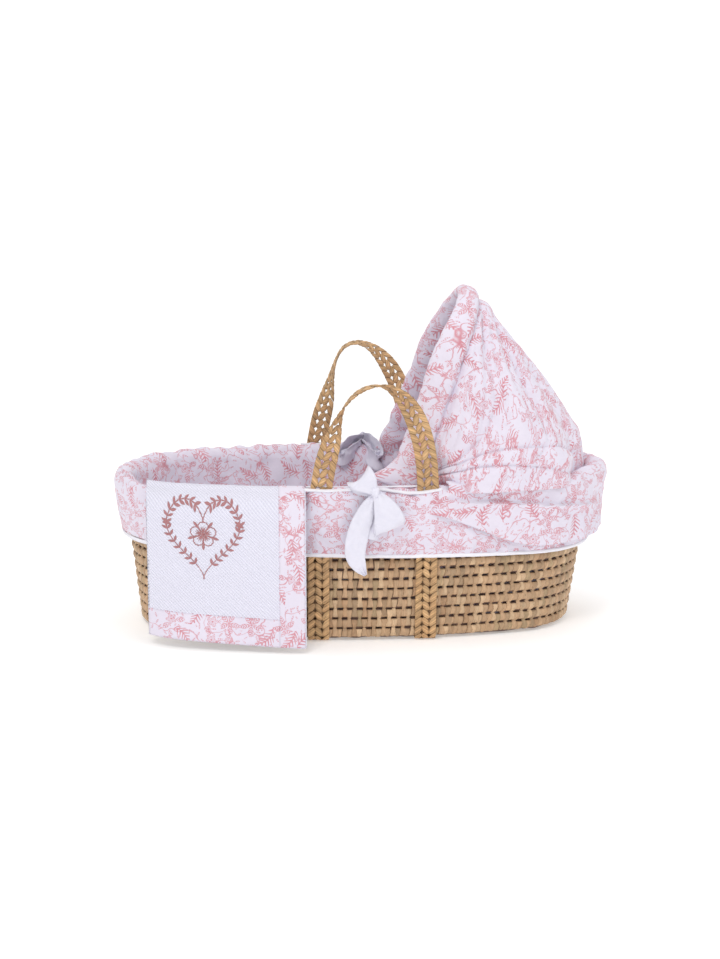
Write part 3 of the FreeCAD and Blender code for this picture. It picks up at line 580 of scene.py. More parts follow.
def braid(name, route, across, through, material, body, slot, replaces):
    """A flat braid along a route: three columns of overlapping palm leaves in a chevron, with gaps between."""
    along = lengths(route)
    count = int(along[-1] / BRAID_PITCH)
    gap = along[-1] / count
    total = count * 3
    which = np.repeat(np.arange(count), 3)
    column = np.tile([-1, 0, 1], count)
    a = np.linspace(-1, 1, LEAF_ROWS)[None, :, None]
    ring = (np.arange(LEAF_RING) / LEAF_RING * TURN)[None, None, :]
    own = draws(total)
    side = column[:, None, None]
    tilt = np.where(side == 0, LEAF_TILT, -LEAF_TILT) + own(-0.05, 0.05)
    middle = (which[:, None, None] + 0.5) * gap + own(-0.0005, 0.0005)
    inner = np.where(side == 0, np.abs(a), np.maximum(-a * side, 0))       # 1 at a tip that faces a neighbour
    width = 0.0082 - 0.0060 * inner**3 + own(-0.0003, 0.0003)
    u = side * COLUMN + a * LEAF_REACH * np.where(side == 0, 1, 0.95)
    s = middle + tilt * a * LEAF_REACH + width * np.cos(ring)
    groove = 0.75 + 0.25 * np.cos(3 * math.pi * np.cos(ring))
    height = (0.0022 * (1 - 0.30 * a**2) * np.sin(ring) * groove * np.where(np.abs(a) > 0.99, 0.6, 1)
              + 0.0007 * np.cos(ring) - 0.0004 * inner)
    s = np.clip(s, 0, along[-1])
    u, s, height = np.broadcast_arrays(u, s, height)
    place, wide, deep = (np.stack(columns_at(s, along, table), -1) for table in (route, across, through))
    points = place + wide * u[..., None] + deep * height[..., None]
    tints = strip_tints(total, 0.70) * [1.27, 1.17, 0.96]
    uv_u, uv_v = width * np.cos(ring) + own(0, 3), a * LEAF_REACH + own(0, 3) + 0 * ring
    points, faces, uv, tint = strips_mesh(points, *np.broadcast_arrays(uv_u, uv_v), tints, ring=True)
    # painted shade: each leaf darkens towards its long edges where it meets its neighbours, along the two grooves on
    # its faces, and a little more at the tips that face a neighbour
    seam = 0.30 + 0.78 * (np.clip(groove * np.abs(np.sin(ring)), 0, 1) ** 0.8) * (1 - 0.25 * inner**2)
    tint = tint * np.broadcast_to(seam, u.shape).reshape(-1, 1)
    for end in range(LEAF_ROWS * LEAF_RING, len(points) + 1, LEAF_ROWS * LEAF_RING):
        start = end - LEAF_ROWS * LEAF_RING
        faces += [tuple(range(start + LEAF_RING - 1, start - 1, -1)), tuple(range(end - LEAF_RING, end))]
    made = make_object(name, points, faces, uv, tint, material)
    return finish_piece(made, body, replaces)


def strap_route(node):
    """The strap's middle line: down the front wall, under the base and up the rear wall."""
    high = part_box(node)[1]
    top, bottom = high[2] - 0.012, STRAP_THICK / 2
    bend_r = 0.014
    side = [(high[1] - STRAP_THICK / 2 - SLOPE * (high[2] - z), z) for z in np.linspace(top, bend_r + bottom, 30)]
    foot = side[-1][0]
    bend = [(foot - bend_r + bend_r * math.cos(t), bottom + bend_r - bend_r * math.sin(t))
            for t in np.linspace(0, math.pi / 2, 9)[1:-1]]
    flat = [(y, bottom) for y in np.linspace(foot - bend_r, 0, 12)]
    half = side + bend + flat
    line = [(-y, z) for y, z in half] + half[-2::-1]
    route = np.array([(centre(node, 0), y, z) for y, z in line])
    across = np.tile([1.0, 0, 0], (len(route), 1))
    return route, across, np.cross(across, tangents(route))


# A handle's line: millimetres along the basket and above its hinge, and its strap's turn in degrees.
FRONT_ROUTE = np.array([(-70, 0, 0), (-63, 38, 4), (-53, 76, 28), (-43, 110, 62), (-30, 138, 84), (-9, 160, 90),
                        (17, 171, 86), (41, 169, 70), (65, 152, 46), (85, 122, 20), (99, 84, 4), (107, 42, 0),
                        (110, 0, 0)]) / [1000, 1000, 1]
REAR_ROUTE = np.array([(-70, 0, 0), (-62, 42, -8), (-51, 84, -40), (-42, 124, -74), (-33, 158, -90),
                       (-19, 182, -90), (2, 192, -88), (26, 187, -76), (50, 169, -52), (73, 138, -24), (92, 96, -6),
                       (104, 48, 0), (110, 0, 0)]) / [1000, 1000, 1]


def joint(name):
    return next(j for j in frame["record"]["behaviour"]["joints"] if j["name"] == name)


def handle_route(knots, hinge, lean):
    """The handle's middle line and its strap's directions. Its ends run on down into the slots."""
    line = smooth_line(knots, 150)
    below = np.linspace(0.030, 0.002, 9)
    feet = [[(knots[n][0], -d, knots[n][2]) for d in order] for n, order in ((0, below), (-1, below[::-1]))]
    line = np.vstack([feet[0], line, feet[1]])
    y = hinge[1] - lean * np.maximum(-line[:, 1], 0)
    route = np.stack([line[:, 0], y, hinge[2] + line[:, 1]], -1)
    tangent = tangents(route)
    flat = np.cross([0.0, 1, 0], tangent)
    across = np.array([Matrix.Rotation(math.radians(turn), 3, Vector(t)) @ Vector(f)
                       for f, t, turn in zip(flat, tangent, line[:, 2])])
    return route, across, np.cross(across, tangent)


def make_handles(material):
    for name, knots, side in (("front_handle", FRONT_ROUTE, -1), ("rear_handle", REAR_ROUTE, 1)):
        hinge = joint(f"{name}_swing")["pos_m"]
        made = braid(f"{name}_braid", *handle_route(knots, hinge, side * SLOPE), material, None,
                     "palm_braid", [name])
        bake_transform(made)


# ---------------------------------------------------------------- padded liner, rim roll and skirt
# The liner's outer and inner faces: millimetres outside the wall's outer face, and up.
LINER_FRONT = np.array([(-31, 20.5), (-24.5, 21.2), (-18.5, 24), (-16.2, 34), (-17.8, 100), (-18.5, 180),
                        (-18.2, 245), (-16.5, 264), (-9.5, 275.5), (0, 278.8), (9.5, 276.8), (15.8, 268), (18, 255),
                        (18.8, 220), (17.8, 185), (15.2, 162), (12.5, 151.5)]) / 1000
LINER_BACK = np.array([(10, 151.5), (9.5, 160), (11.5, 185), (12.5, 220), (12, 250), (10, 263.5), (0, 268.5),
                       (-8.5, 267), (-10.8, 258), (-10.8, 200), (-10.8, 100), (-10.8, 34), (-12, 23.5), (-19, 18.8),
                       (-30, 18)]) / 1000
FOOT_HEM = 0.021                        # the liner's turned-in foot, beside the mattress


def soft_folds(points, turns, around):
    """Loose vertical puffs and fine wrinkles of a quilted ring."""
    along = np.stack([np.cos(turns * TURN), np.sin(turns * TURN), points[..., 2] * 0], -1) * around / TURN
    tall = along + np.array([0, 0, 1]) * points[..., 2:] * 0.30
    slanted = along + np.array([0.8, 0, 1.0]) * points[..., 2:]
    return (0.0036 * wobble(tall, 0.045, 3.0) + 0.0020 * wobble(tall, 0.021, 8.0)
            + 0.0018 * wobble(points, 0.028, 5.0) + 0.0009 * wobble(points, 0.012, 1.0)
            + 0.0050 * (0.30 - np.abs(wobble(slanted, 0.060, 12.0))))


def slot_dip(points):
    """How far the skirt's top sags outside the handle's legs."""
    x, y = points[..., 0], points[..., 1]
    right, left = 0.0085 * np.exp(-((x - 0.088) / 0.045) ** 2), 0.0030 * np.exp(-((x + 0.06) / 0.04) ** 2)
    return np.where(y < 0, right + left, 0)


def hem_rise(points):
    """How far the skirt's hem is above its lowest height: most at the foot end, least at the head."""
    return 0.0112 - 0.0215 * points[..., 0]


LINER_STEPS = 560                       # points round the liner
HEM_GATHERS, ROLL_GATHERS = 97, 61      # small tucks round the hem and round the roll
ROLL_LEVEL = 0.277


def make_liner(material):
    front, back = smooth_line(LINER_FRONT, 112), smooth_line(LINER_BACK, 32)
    path = np.vstack([front, back])
    normal = side_of(path)
    grid_turns, out = np.meshgrid(np.arange(LINER_STEPS) / LINER_STEPS, path[:, 0])
    z = np.broadcast_to(path[:, 1][:, None], out.shape)
    points = shell(grid_turns, z, out)
    around = perimeter(float(flare(0.2)))
    seen = np.concatenate([np.ones(len(front)), np.zeros(len(back))])
    seen[len(front) - 3:len(front)] = 0.3
    seen *= np.where(path[:, 0] < -0.012, 0.08 + 0.92 * smoothstep(0.022, 0.060, path[:, 1]), 1.0)
    lift = soft_folds(points, grid_turns, around) * seen[:, None]
    near_hem = smoothstep(0.205, 0.155, z) * (out > 0.008) * seen[:, None]
    tuck = np.sin(grid_turns * TURN * HEM_GATHERS + 2.2 * wobble(points, 0.12, 2.0))
    lift += 0.0011 * near_hem * tuck - 0.0012 * near_hem
    on_roll = np.exp(-((z - ROLL_LEVEL) / 0.012) ** 2) * seen[:, None]
    lift += 0.0012 * on_roll * np.sin(grid_turns * TURN * ROLL_GATHERS + 3 * wobble(points, 0.2, 4.0))
    # pressed flat where the blanket lies
    pressed = (smoothstep(-0.40, -0.375, points[..., 0]) * smoothstep(-0.075, -0.100, points[..., 0])
               * (points[..., 1] < 0) * smoothstep(0.235, 0.262, z))
    lift -= 0.0095 * pressed * seen[:, None]
    over_strap = sum(np.exp(-((points[..., 0] - x) / 0.020) ** 4) for x in STRAP_MIDDLES) * (out > 0.008)
    lift += np.minimum(over_strap, 1) * np.maximum(0.0006 - lift, 0)
    lift -= 0.0045 * smoothstep(-0.34, -0.42, points[..., 0]) * (out > 0)
    z = z + hem_rise(points) * smoothstep(0.255, 0.155, z) * (out > 0.005)
    z = z - slot_dip(points) * smoothstep(0.002, 0.008, out) * smoothstep(0.20, 0.265, z)
    points = shell(grid_turns, z + lift * normal[:, 1:], out + lift * normal[:, :1])
    along = lengths(path) - FOOT_HEM
    uv = uv_grid(np.arange(LINER_STEPS + 1) / LINER_STEPS * around, np.append(along, along[-1] + 0.003))
    made = sweep("padded_liner", points, uv, closed=True, ring=True, material=material)
    return finish_piece(made, "basket", ["liner_wall", "liner_rim_roll", "liner_skirt"])


TUBE_RING = 10                          # points round a tube


def tube_round(name, out, z, half, turns, material, replaces=(), ring=True, ripple=0.0):
    """A soft tube that follows the shell: half is its half width and half height."""
    rr, tt = ring_and_turns(TUBE_RING, turns)
    place = shell(tt, np.full_like(tt, z), np.full_like(tt, out))
    z = z + hem_rise(place) if z < 0.2 else z - slot_dip(place) * (out > 0.005)
    wave = ripple * wobble(place, 0.016, 6.0)
    points = shell(tt, z + half[1] * np.sin(rr) + wave, out + half[0] * np.cos(rr) + wave)
    uv = uv_grid(np.append(turns, 1) * 2.1, np.arange(TUBE_RING + 1) * 0.0015)
    uv = uv if ring else uv[:, :len(turns)]
    made = sweep(name, points, uv, closed=True, ring=ring, material=material)
    if not ring:
        cap_tube(made, TUBE_RING, len(turns))
    return finish_piece(made, "basket", replaces)


def make_trim(piping):
    hem_out, hem_z = LINER_FRONT[-1] - [0.0005, 0.0028]
    tube_round("skirt_hem_piping", hem_out, hem_z, (0.0024, 0.0036), np.arange(420) / 420, piping,
               ["skirt_hem_binding", "skirt_elastic"], ripple=0.0007)
    for name, side in (("front", -1), ("rear", 1)):
        low, high = sorted(turn_at(x, side) for x in (STRAP_MIDDLES[0] - 0.021, STRAP_MIDDLES[1] + 0.0185))
        turns = np.linspace(low, high, 90)
        tube_round(f"{name}_slot_outer_binding", 0.0088, 0.2788, (0.0050, 0.0028), turns, piping,
                   [f"{name}_slot_bindings"], ring=False, ripple=0.0005)
        tube_round(f"{name}_slot_inner_binding", -0.0020, 0.2800, (0.0022, 0.0016), turns, piping,
                   ring=False, ripple=0.0005)


# ---------------------------------------------------------------- cloth sheets with thickness
def grid_normals(grid):
    normal = np.cross(np.gradient(grid, axis=0), np.gradient(grid, axis=1))
    return normal / np.maximum(np.linalg.norm(normal, axis=-1, keepdims=True), 1e-12)


def cloth(name, grid, thick, uv, material, outward=1):
    """A closed sheet of cloth: the grid is its outer face, and its inner face is thick metres inside."""
    rows, columns = grid.shape[:2]
    inner = grid - outward * thick * grid_normals(grid)
    count = rows * columns
    front = np.array(grid_faces(rows, columns))
    back = front[:, ::-1] + count
    rim = ([(i, j) for i, j in zip(range(columns - 1), range(1, columns))]
           + [(r * columns + columns - 1, (r + 1) * columns + columns - 1) for r in range(rows - 1)]
           + [((rows - 1) * columns + j, (rows - 1) * columns + j - 1) for j in range(columns - 1, 0, -1)]
           + [(r * columns, (r - 1) * columns) for r in range(rows - 1, 0, -1)])
    edge = np.array([(b, a, a + count, b + count) for a, b in rim])
    faces = np.vstack([front, back, edge])
    if outward < 0:
        faces = faces[:, ::-1]
    points = np.concatenate([grid.reshape(-1, 3), inner.reshape(-1, 3)])
    uv = np.concatenate([uv.reshape(-1, 2)] * 2)
    return make_object(name, points, faces.tolist(), uv, None, material)


def grid_uv(grid):
    """Lengths along the grid's rows and columns, in metres."""
    return np.stack([lengths(grid, 1), lengths(grid, 0)], -1)


def facing(grid, middle):
    """1 where the grid's normals point away from middle, and -1 where they point towards it."""
    return 1 if (grid_normals(grid) * (grid - middle)).sum(-1).mean() > 0 else -1


# ---------------------------------------------------------------- hood
PIVOT = joint("hood_fold")["pos_m"]
LEAN = math.radians(19.5)
HOOP_FOOT, HOOP_CENTRE, HOOP_RADIUS = 0.1705, 0.245, 0.108
HOOP_STEPS, BAND_RING = 230, 30         # points along the hoop and round its band
HOOD_MIDDLE = np.array([0.25, 0, 0.30])


def hoop_outline(count, skip):
    """(y, height) along the hoop in its own plane, from the front foot over the top, leaving skip at each foot."""
    reach = math.hypot(HOOP_FOOT, HOOP_CENTRE)
    turn = math.atan2(HOOP_CENTRE, -HOOP_FOOT) - math.asin(HOOP_RADIUS / reach)
    leg = math.sqrt(reach**2 - HOOP_RADIUS**2)
    half = leg + HOOP_RADIUS * (math.pi - turn)
    along = np.linspace(skip, 2 * half - skip, count)
    mirror = np.where(along > half, -1, 1)
    from_foot = np.minimum(along, 2 * half - along)
    angle = (half - from_foot) / HOOP_RADIUS
    on_leg = from_foot < leg
    y = np.where(on_leg, HOOP_FOOT + from_foot * math.cos(turn), HOOP_RADIUS * np.sin(angle))
    z = np.where(on_leg, from_foot * math.sin(turn), HOOP_CENTRE + HOOP_RADIUS * np.cos(angle))
    return np.stack([-mirror * y, z], -1), along / (2 * half)


def on_hood(behind, y, z):
    """From the hoop's own plane to the basket: behind is towards the head end."""
    behind, y, z = np.broadcast_arrays(behind, y, z)
    return np.stack([PIVOT[0] + behind * math.cos(LEAN) + z * math.sin(LEAN), y,
                     PIVOT[2] - behind * math.sin(LEAN) + z * math.cos(LEAN)], -1)


def make_hood_band(material):
    """The padded front band, sewn round the hoop: a flattened roll, gathered at its feet."""
    line, share = hoop_outline(HOOP_STEPS, 0.006)
    outward = side_of(line)
    outward *= np.sign((outward * (line - [0, 0.15])).sum(1))[:, None]
    foot = np.minimum(share, 1 - share) * 2                             # 0 at a foot, 1 at the top
    spread = smoothstep(0.15, 0.02, foot) * np.where(share < 0.5, 1.0, 0.15)
    wide = 0.0185 + 0.009 * smoothstep(0.95, 0.55, foot) + 0.014 * spread
    thick = 0.0125 + 0.002 * smoothstep(0.5, 0.2, foot) - 0.005 * smoothstep(0.14, 0.02, foot)
    back = 0.0070 - 0.010 * smoothstep(0.95, 0.50, foot) - 0.018 * spread
    round_ = np.arange(BAND_RING) / BAND_RING * TURN
    cos, sin = np.cos(round_)[:, None], np.sin(round_)[:, None]
    behind = back + wide * cos
    out = thick * np.sign(sin) * np.abs(sin) ** 0.95 + 0.001 - 0.007 * smoothstep(0.75, 1.0, foot)
    base = on_hood(behind, line[:, 0] + out * outward[:, 0], line[:, 1] + out * outward[:, 1])
    pleat = 0.0016 * np.sin(share * 2 * 60 + 2.5 * wobble(base, 0.05, 2.0)) * smoothstep(0.45, 0.05, foot)
    crease = 0.0026 * wobble(base, 0.034, 4.0) + 0.0015 * wobble(base, 0.015, 9.0) + pleat
    seam = -0.003 * np.exp(-((round_[:, None] - 0.35) / 0.16) ** 2)
    normal = grid_normals(np.concatenate([base, base[:1]]))[:-1]
    flip = np.sign((normal * (base - on_hood(back, line[:, 0], line[:, 1]))).sum(-1).mean())
    points = base + flip * normal * (crease + seam)[..., None]
    uv = uv_grid(lengths(line), np.arange(BAND_RING + 1) / BAND_RING * 0.105 + 0.4)
    made = sweep("hood_front_band", points, uv, closed=True, material=material)
    cap_tube(made, BAND_RING, HOOP_STEPS)
    return finish_piece(made, "hood", ["hood_front_hem"])


def head_line(count, z, out, start_x):
    """Points round the head end, from start_x on the front to start_x on the rear."""
    first, last = turn_at(start_x, -1, z), 1 + turn_at(start_x, 1, z)
    turns = np.linspace(first, last, count)
    return shell(turns, np.full(count, z), np.full(count, out)), turns


def fold_field(near, down, seed):
    """Folds that fan out from the hood's peak: sharp valleys between rounded ridges, from about -1 to 1."""
    angle = np.arctan2(down * 0.95, near)
    reach = np.hypot(down * 0.95, near)
    phase = angle * 15.0 + 1.1 * np.sin(angle * 5 + seed) + 1.3 * np.sin(reach * 4.0 + seed * 2)
    ridge = np.abs(np.sin(phase / 2)) ** 0.55
    second = np.abs(np.sin(angle * 17.0 + 2.0 * np.sin(reach * 3.0 + seed) + seed)) ** 0.5
    return (1.7 * ridge + 0.5 * second - 1.35) * smoothstep(0.03, 0.22, reach)


def make_canopy(material):
    rows, columns = 120, HOOP_STEPS
    line, _ = hoop_outline(columns, 0.030)
    start = on_hood(0.016, line[:, 0], line[:, 1])
    crown = np.sin(math.pi * np.linspace(0, 1, columns))[:, None]
    inside, _ = head_line(columns, ROLL_TOP + 0.002, -0.016, PIVOT[0] + 0.030)
    outside, _ = head_line(columns, ROLL_TOP - 0.0060, 0.0290, PIVOT[0] + 0.030)
    beside = (smoothstep(0.138, 0.165, inside[:, 0]) * smoothstep(0.385, 0.30, inside[:, 0]))[:, None]
    end = inside + (outside - inside) * beside
    p1 = start + (end - start) * 0.34 + crown * [0.004, 0, 0.012]
    p2 = end + crown * [-0.001, 0, 0.094] + beside * [0, 0, 0.034]
    t = np.linspace(0, 1, rows)[:, None, None]
    base = start * (1 - t) ** 3 + p1 * 3 * t * (1 - t) ** 2 + p2 * 3 * t * t * (1 - t) + end * t**3
    normal = grid_normals(base)
    normal *= np.sign((normal * (base - HOOD_MIDDLE)).sum(-1).mean())
    down = t[..., 0]
    across = np.linspace(-1, 1, columns)[None, :]
    side = np.where(across < 0, 1.0, 2.3)
    folds = fold_field(np.abs(across), np.broadcast_to(down, base.shape[:2]), side)
    fade = smoothstep(0.0, 0.10, down) * smoothstep(1.0, 0.86, down)
    fan = 0.0082 * folds * fade * (1 - 0.55 * smoothstep(0.45, 0.85, down))
    puff = 0.005 * np.exp(-((down - 0.80) / 0.16) ** 2) * smoothstep(1.0, 0.92, np.abs(across))
    low = smoothstep(0.45, 0.85, down)
    flat_way = base * [0.35, 0.35, 1.0]
    rumple = (0.0075 * wobble(flat_way, 0.045, 2.0) + 0.0035 * wobble(base, 0.022, 7.0)) * low * fade
    fine = (0.0034 * wobble(base, 0.036, 3.0) + 0.0021 * wobble(base, 0.014, 5.0)) * fade
    notch = -0.010 * np.exp(-(down / 0.045) ** 2) * np.exp(-(across / 0.5) ** 2)
    bump = 0.007 * np.exp(-((down - 0.09) / 0.05) ** 2) * np.exp(-(across / 0.25) ** 2)
    swept = down + 0.55 * (np.abs(across) - 0.5)
    curve = sum(depth * (1.4 * np.abs(np.sin(math.pi * (swept - place) / 0.16)) ** 0.5 - 1)
                * np.exp(-((swept - place) / 0.07) ** 2)
                for place, depth in ((0.72, 0.0060), (0.88, 0.0065))) * smoothstep(0.15, 0.35, np.abs(across)) * fade
    calm = 1 - 0.65 * np.exp(-(across / 0.13) ** 2)
    points = base + normal * ((fan + puff + rumple + fine + curve) * calm + notch + bump)[..., None]
    made = cloth("hood_canopy_cloth", points, 0.0022, grid_uv(points) + [0.3, 0.1], material,
                 outward=facing(points, HOOD_MIDDLE))
    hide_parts("hood_canopy")
    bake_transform(made)
    return made


VALANCE_PATH = np.array([(-15, 280), (-9, 285), (0, 288.5), (11, 287), (20, 279), (24.2, 265), (25.2, 245),
                         (26, 220), (28.2, 195), (31.2, 169)]) / 1000


VALANCE_WAVES = 34                      # ripples of its hem, in a whole turn


def make_valance(material):
    """The flap round the outside of the head end: over the roll and down, drawn to a pinch at each front corner."""
    rows, columns = 60, 420
    path = smooth_line(VALANCE_PATH, 200)
    along = lengths(path)
    start_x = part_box("hood_valance")[0][0]
    _, turns = head_line(columns, 0.25, 0.02, start_x)
    spread = np.minimum(turns - turns[0], turns[-1] - turns) * perimeter(0.05)     # from the nearer end
    first = 0.020 * smoothstep(0.05, 0.0, spread)
    last = along[-1] - 0.066 * smoothstep(0.17, 0.0, spread) ** 1.2
    s = first + (last - first) * np.linspace(0, 1, rows)[:, None]
    out, z = columns_at(s, along, path)
    n_out, n_z = columns_at(s, along, side_of(path))
    spread = np.broadcast_to(spread, s.shape)
    front = np.where(np.arange(columns) < columns / 2, -1.0, 1.0)
    drawn = 0.040 * smoothstep(0.30, 0.75, (s - first) / (last - first)) * smoothstep(0.15, 0.0, spread)
    tt = turns + front * drawn / perimeter(0.05)
    place = shell(tt, z, out)
    lift = soft_folds(place, tt, perimeter(0.04)) * smoothstep(0.0, 0.05, spread)
    gap = s - (0.060 + 0.11 * spread)
    pleat = 1.2 * np.exp(-np.maximum(gap, 0) / 0.012) * smoothstep(-0.0022, 0.0012, gap) - 0.35
    near_end = smoothstep(0.0, 0.03, spread) * smoothstep(0.34, 0.18, spread)
    lift += 0.0090 * pleat * np.exp(-(gap / 0.022) ** 2) * near_end
    lift += 0.0025 * np.exp(-((s - last) / 0.02) ** 2) * np.sin(tt * TURN * VALANCE_WAVES)
    lift -= 0.0075 * smoothstep(0.022, 0.0, spread) * smoothstep(0.010, 0.022, out)
    points = shell(tt, z + lift * n_z, out + lift * n_out)
    uv = np.stack([tt * perimeter(0.04), s + 0.2], -1)
    made = cloth("hood_valance_flap", points, 0.0040, uv, material,
                 outward=facing(points, HOOD_MIDDLE - [0, 0, 0.1]))
    return finish_piece(made, "basket", ["hood_valance", "valance_binding"])


POCKET_HALF_WIDTH, POCKET_DROP, POCKET_HEIGHT = 0.027, 0.034, 0.045


def make_pockets(material):
    """A small flap on the liner at each side, which hides the bracket and the hoop's eye.

    It is open at the head end, so that the hoop swings back behind it.
    """
    a, b = np.meshgrid(np.linspace(-1, 1, 25), np.linspace(0, 1, 19))
    for name, side in (("front", -1), ("rear", 1)):
        x = PIVOT[0] + POCKET_HALF_WIDTH * a * (0.80 + 0.20 * b)
        z = PIVOT[2] - POCKET_DROP + POCKET_HEIGHT * b
        liner = rim_y(x, -0.0172) - SLOPE * (RIM_LEVEL - z)
        bulge = (1 - np.maximum(-a, 0) ** 4) * smoothstep(0.0, 0.5, b)
        bulge += 0.06 * wobble(np.stack([x, 0 * x, z], -1), 0.012, 3.0)
        stand_off = liner - HOOP_FOOT + 0.0090 + 0.0065 * np.maximum(a, 0)
        grid = np.stack([x, side * (liner - stand_off * bulge), z], -1)
        made = cloth(f"{name}_hoop_pocket", grid, 0.0018, np.stack([x + 0.2, z], -1), material,
                     outward=facing(grid, np.array([PIVOT[0], side * 0.3, PIVOT[2]])))
        finish_piece(made, "basket")


# ---------------------------------------------------------------- ribbon bows
def ribbon(name, knots, material):
    """A ribbon along a table of knots: x, y, z, width and the tilt of its width in degrees."""
    line = smooth_line(knots, 40 + 10 * len(knots))
    centre_line, width, tilt = line[:, :3], line[:, 3], np.radians(line[:, 4])
    tangent = tangents(centre_line)
    across = np.stack([np.cos(tilt), 0 * tilt, np.sin(tilt)], -1)
    across -= tangent * (across * tangent).sum(1)[:, None]
    across /= np.linalg.norm(across, axis=1)[:, None]
    w = np.linspace(-1, 1, 15)
    face = np.cross(tangent, across)
    narrow = smoothstep(0.034, 0.010, width)
    lift = 0.0022 * np.sin(w[None, :] * 7.0 + 0.6) * narrow[:, None]
    lift = lift + 0.0015 * np.cos(w[None, :] * 3) * width[:, None] / 0.03
    grid = centre_line[:, None] + across[:, None] * (w[None, :, None] * width[:, None, None] / 2)
    lift = lift + 0.0030 * wobble(grid, 0.018, 3.0) + 0.0012 * wobble(grid, 0.008, 6.0)
    grid = grid + face[:, None] * lift[..., None]
    return cloth(name, grid, 0.0009, grid_uv(grid), material)


KNOT_RADII = [0.0075, 0.0075, 0.0105]
# Each ribbon's line about its bow's knot: along the basket, outwards, up and width in millimetres, tilt in degrees.
BOWS = {
    "front": {
        "loop_a": [(0, 1, 0, 12, 45), (-8, 7, 10, 26, 42), (-17, 11, 20, 42, 38), (-25, 6, 26, 48, 36),
                   (-27, -2, 22, 44, 34), (-24, -6, 12, 38, 26), (-12, -4, 3, 22, 20), (0, 0, 0, 11, 20)],
        "loop_b": [(0, 2, 0, 12, 0), (9, 9, -12, 28, 16), (19, 13, -33, 46, 27), (24, 11, -52, 54, 28),
                   (22, 4, -62, 52, 26), (18, -1, -52, 46, 22), (10, -1, -26, 34, 12), (0, 0, 0, 11, 0)],
        "tail_a": [(0, 1, -2, 12, 0), (-10, 6, -22, 26, -18), (-22, 6, -48, 34, -14), (-31, 4, -78, 37, -4),
                   (-34, 4, -107, 34, 8), (-26, 4, -129, 22, 20), (-17, 4, -142, 5, 30)],
        "tail_b": [(0, 0, -2, 12, 0), (2, 1, -20, 22, 4), (-4, 1, -48, 28, 8), (-10, 0, -80, 26, 6)],
    },
    "rear": {
        "loop_a": [(0, 1, 0, 16, 80), (-4, 0, 16, 34, 50), (-16, -20, 30, 40, 50), (-34, -48, 24, 42, 80),
                   (-46, -62, 6, 30, 88), (-30, -60, 10, 30, 80), (-10, -40, 26, 26, 60), (0, -4, 14, 11, 90)],
        "loop_b": [(0, 1, 0, 16, 96), (-1, -2, 16, 36, 120), (8, -22, 30, 42, 130), (18, -48, 24, 46, 104),
                   (27, -63, 2, 40, 94), (12, -60, 8, 34, 90), (3, -40, 26, 26, 110), (0, -4, 14, 11, 90)],
        "tail_a": [(0, 1, -2, 12, 0), (-8, 4, -22, 26, -14), (-14, 4, -55, 32, -8), (-20, 3, -90, 32, 4),
                   (-18, 3, -112, 20, 20)],
        "tail_b": [(0, 1, -2, 12, 0), (10, 4, -22, 26, 12), (20, 4, -52, 32, 8), (26, 3, -88, 30, -4),
                   (26, 3, -104, 18, -20)],
    },
}


def make_bow(name, side, material):
    """Two loops, two tails and the wrap of ribbon between them. side is -1 for the front and 1 for the rear."""
    place = np.array([centre(f"{name}_bow_knot", n) for n in range(3)]) + [0, 0, 0.011 if side < 0 else -0.012]
    for part, knots in BOWS[name].items():
        knots = np.array(knots, float) / [1000, 1000, 1000, 1000, 1]
        knots[:, :3] = place + knots[:, :3] * [1, side, 1]
        made = ribbon(f"{name}_bow_{part}", knots, material)
        replaced = {"loop_a": f"{name}_bow_loops", "tail_a": f"{name}_bow_tails"}.get(part)
        finish_piece(made, "basket", [replaced] if replaced else ())
    rows, columns = 20, 28
    theta, phi = np.meshgrid(np.linspace(0.05, math.pi - 0.05, rows), np.arange(columns) / columns * TURN,
                             indexing="ij")
    ball = np.stack([np.sin(theta) * np.cos(phi), np.sin(theta) * np.sin(phi), np.cos(theta)], -1)
    crease = 1 + 0.16 * np.cos(phi * 3 + 2 * theta) * np.sin(theta) + 0.10 * wobble(ball, 0.5, 2.0)
    points = place + [0, side * 0.002, 0] + ball * KNOT_RADII * crease[..., None]
    uv = uv_grid(np.arange(columns + 1) * 0.002, np.arange(rows) * 0.002)
    made = sweep(f"{name}_bow_wrap", points, uv, ring=True, material=material)
    cap_bowl(made, rows, columns)
    finish_piece(made, "basket", [f"{name}_bow_knot"])


# ---------------------------------------------------------------- folded blanket
BLANKET_LOW, BLANKET_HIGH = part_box("blanket_body")
BLANKET_MIDDLE = centre("blanket_body", 0)
LAYERS, LAYER, AIR = 4, 0.0016, 0.0004
BLANKET_STEPS, BLANKET_ROWS = 54, 118   # points across one layer and down the drape
BORDER_WIDE, BORDER_DEEP = 0.043, 0.049
BEHIND_DRAPE = np.array([-0.23, 0, 0.1])


def blanket_path():
    """(y, z) over the rim: from the inner drop, over the roll, and straight down in front of the skirt."""
    inner = side_y(BLANKET_MIDDLE, 0.20, -0.0215)
    outer = -BLANKET_LOW[1] - LAYERS * (LAYER + AIR)
    crest = side_y(BLANKET_MIDDLE, 0.275)
    top = 0.2725
    return [(-inner + 0.013, top - 0.150), (-inner + 0.008, top - 0.100), (-inner + 0.002, top - 0.045),
            (-crest + 0.018, top - 0.012), (-crest + 0.008, top - 0.002), (-crest - 0.004, top),
            (-crest - 0.014, top - 0.005), (-outer + 0.0015, top - 0.022), (-outer, top - 0.055),
            (-outer + 0.0005, top - 0.120), (-outer, top - 0.200), (-outer - 0.0005, BLANKET_LOW[2] + 0.003)]


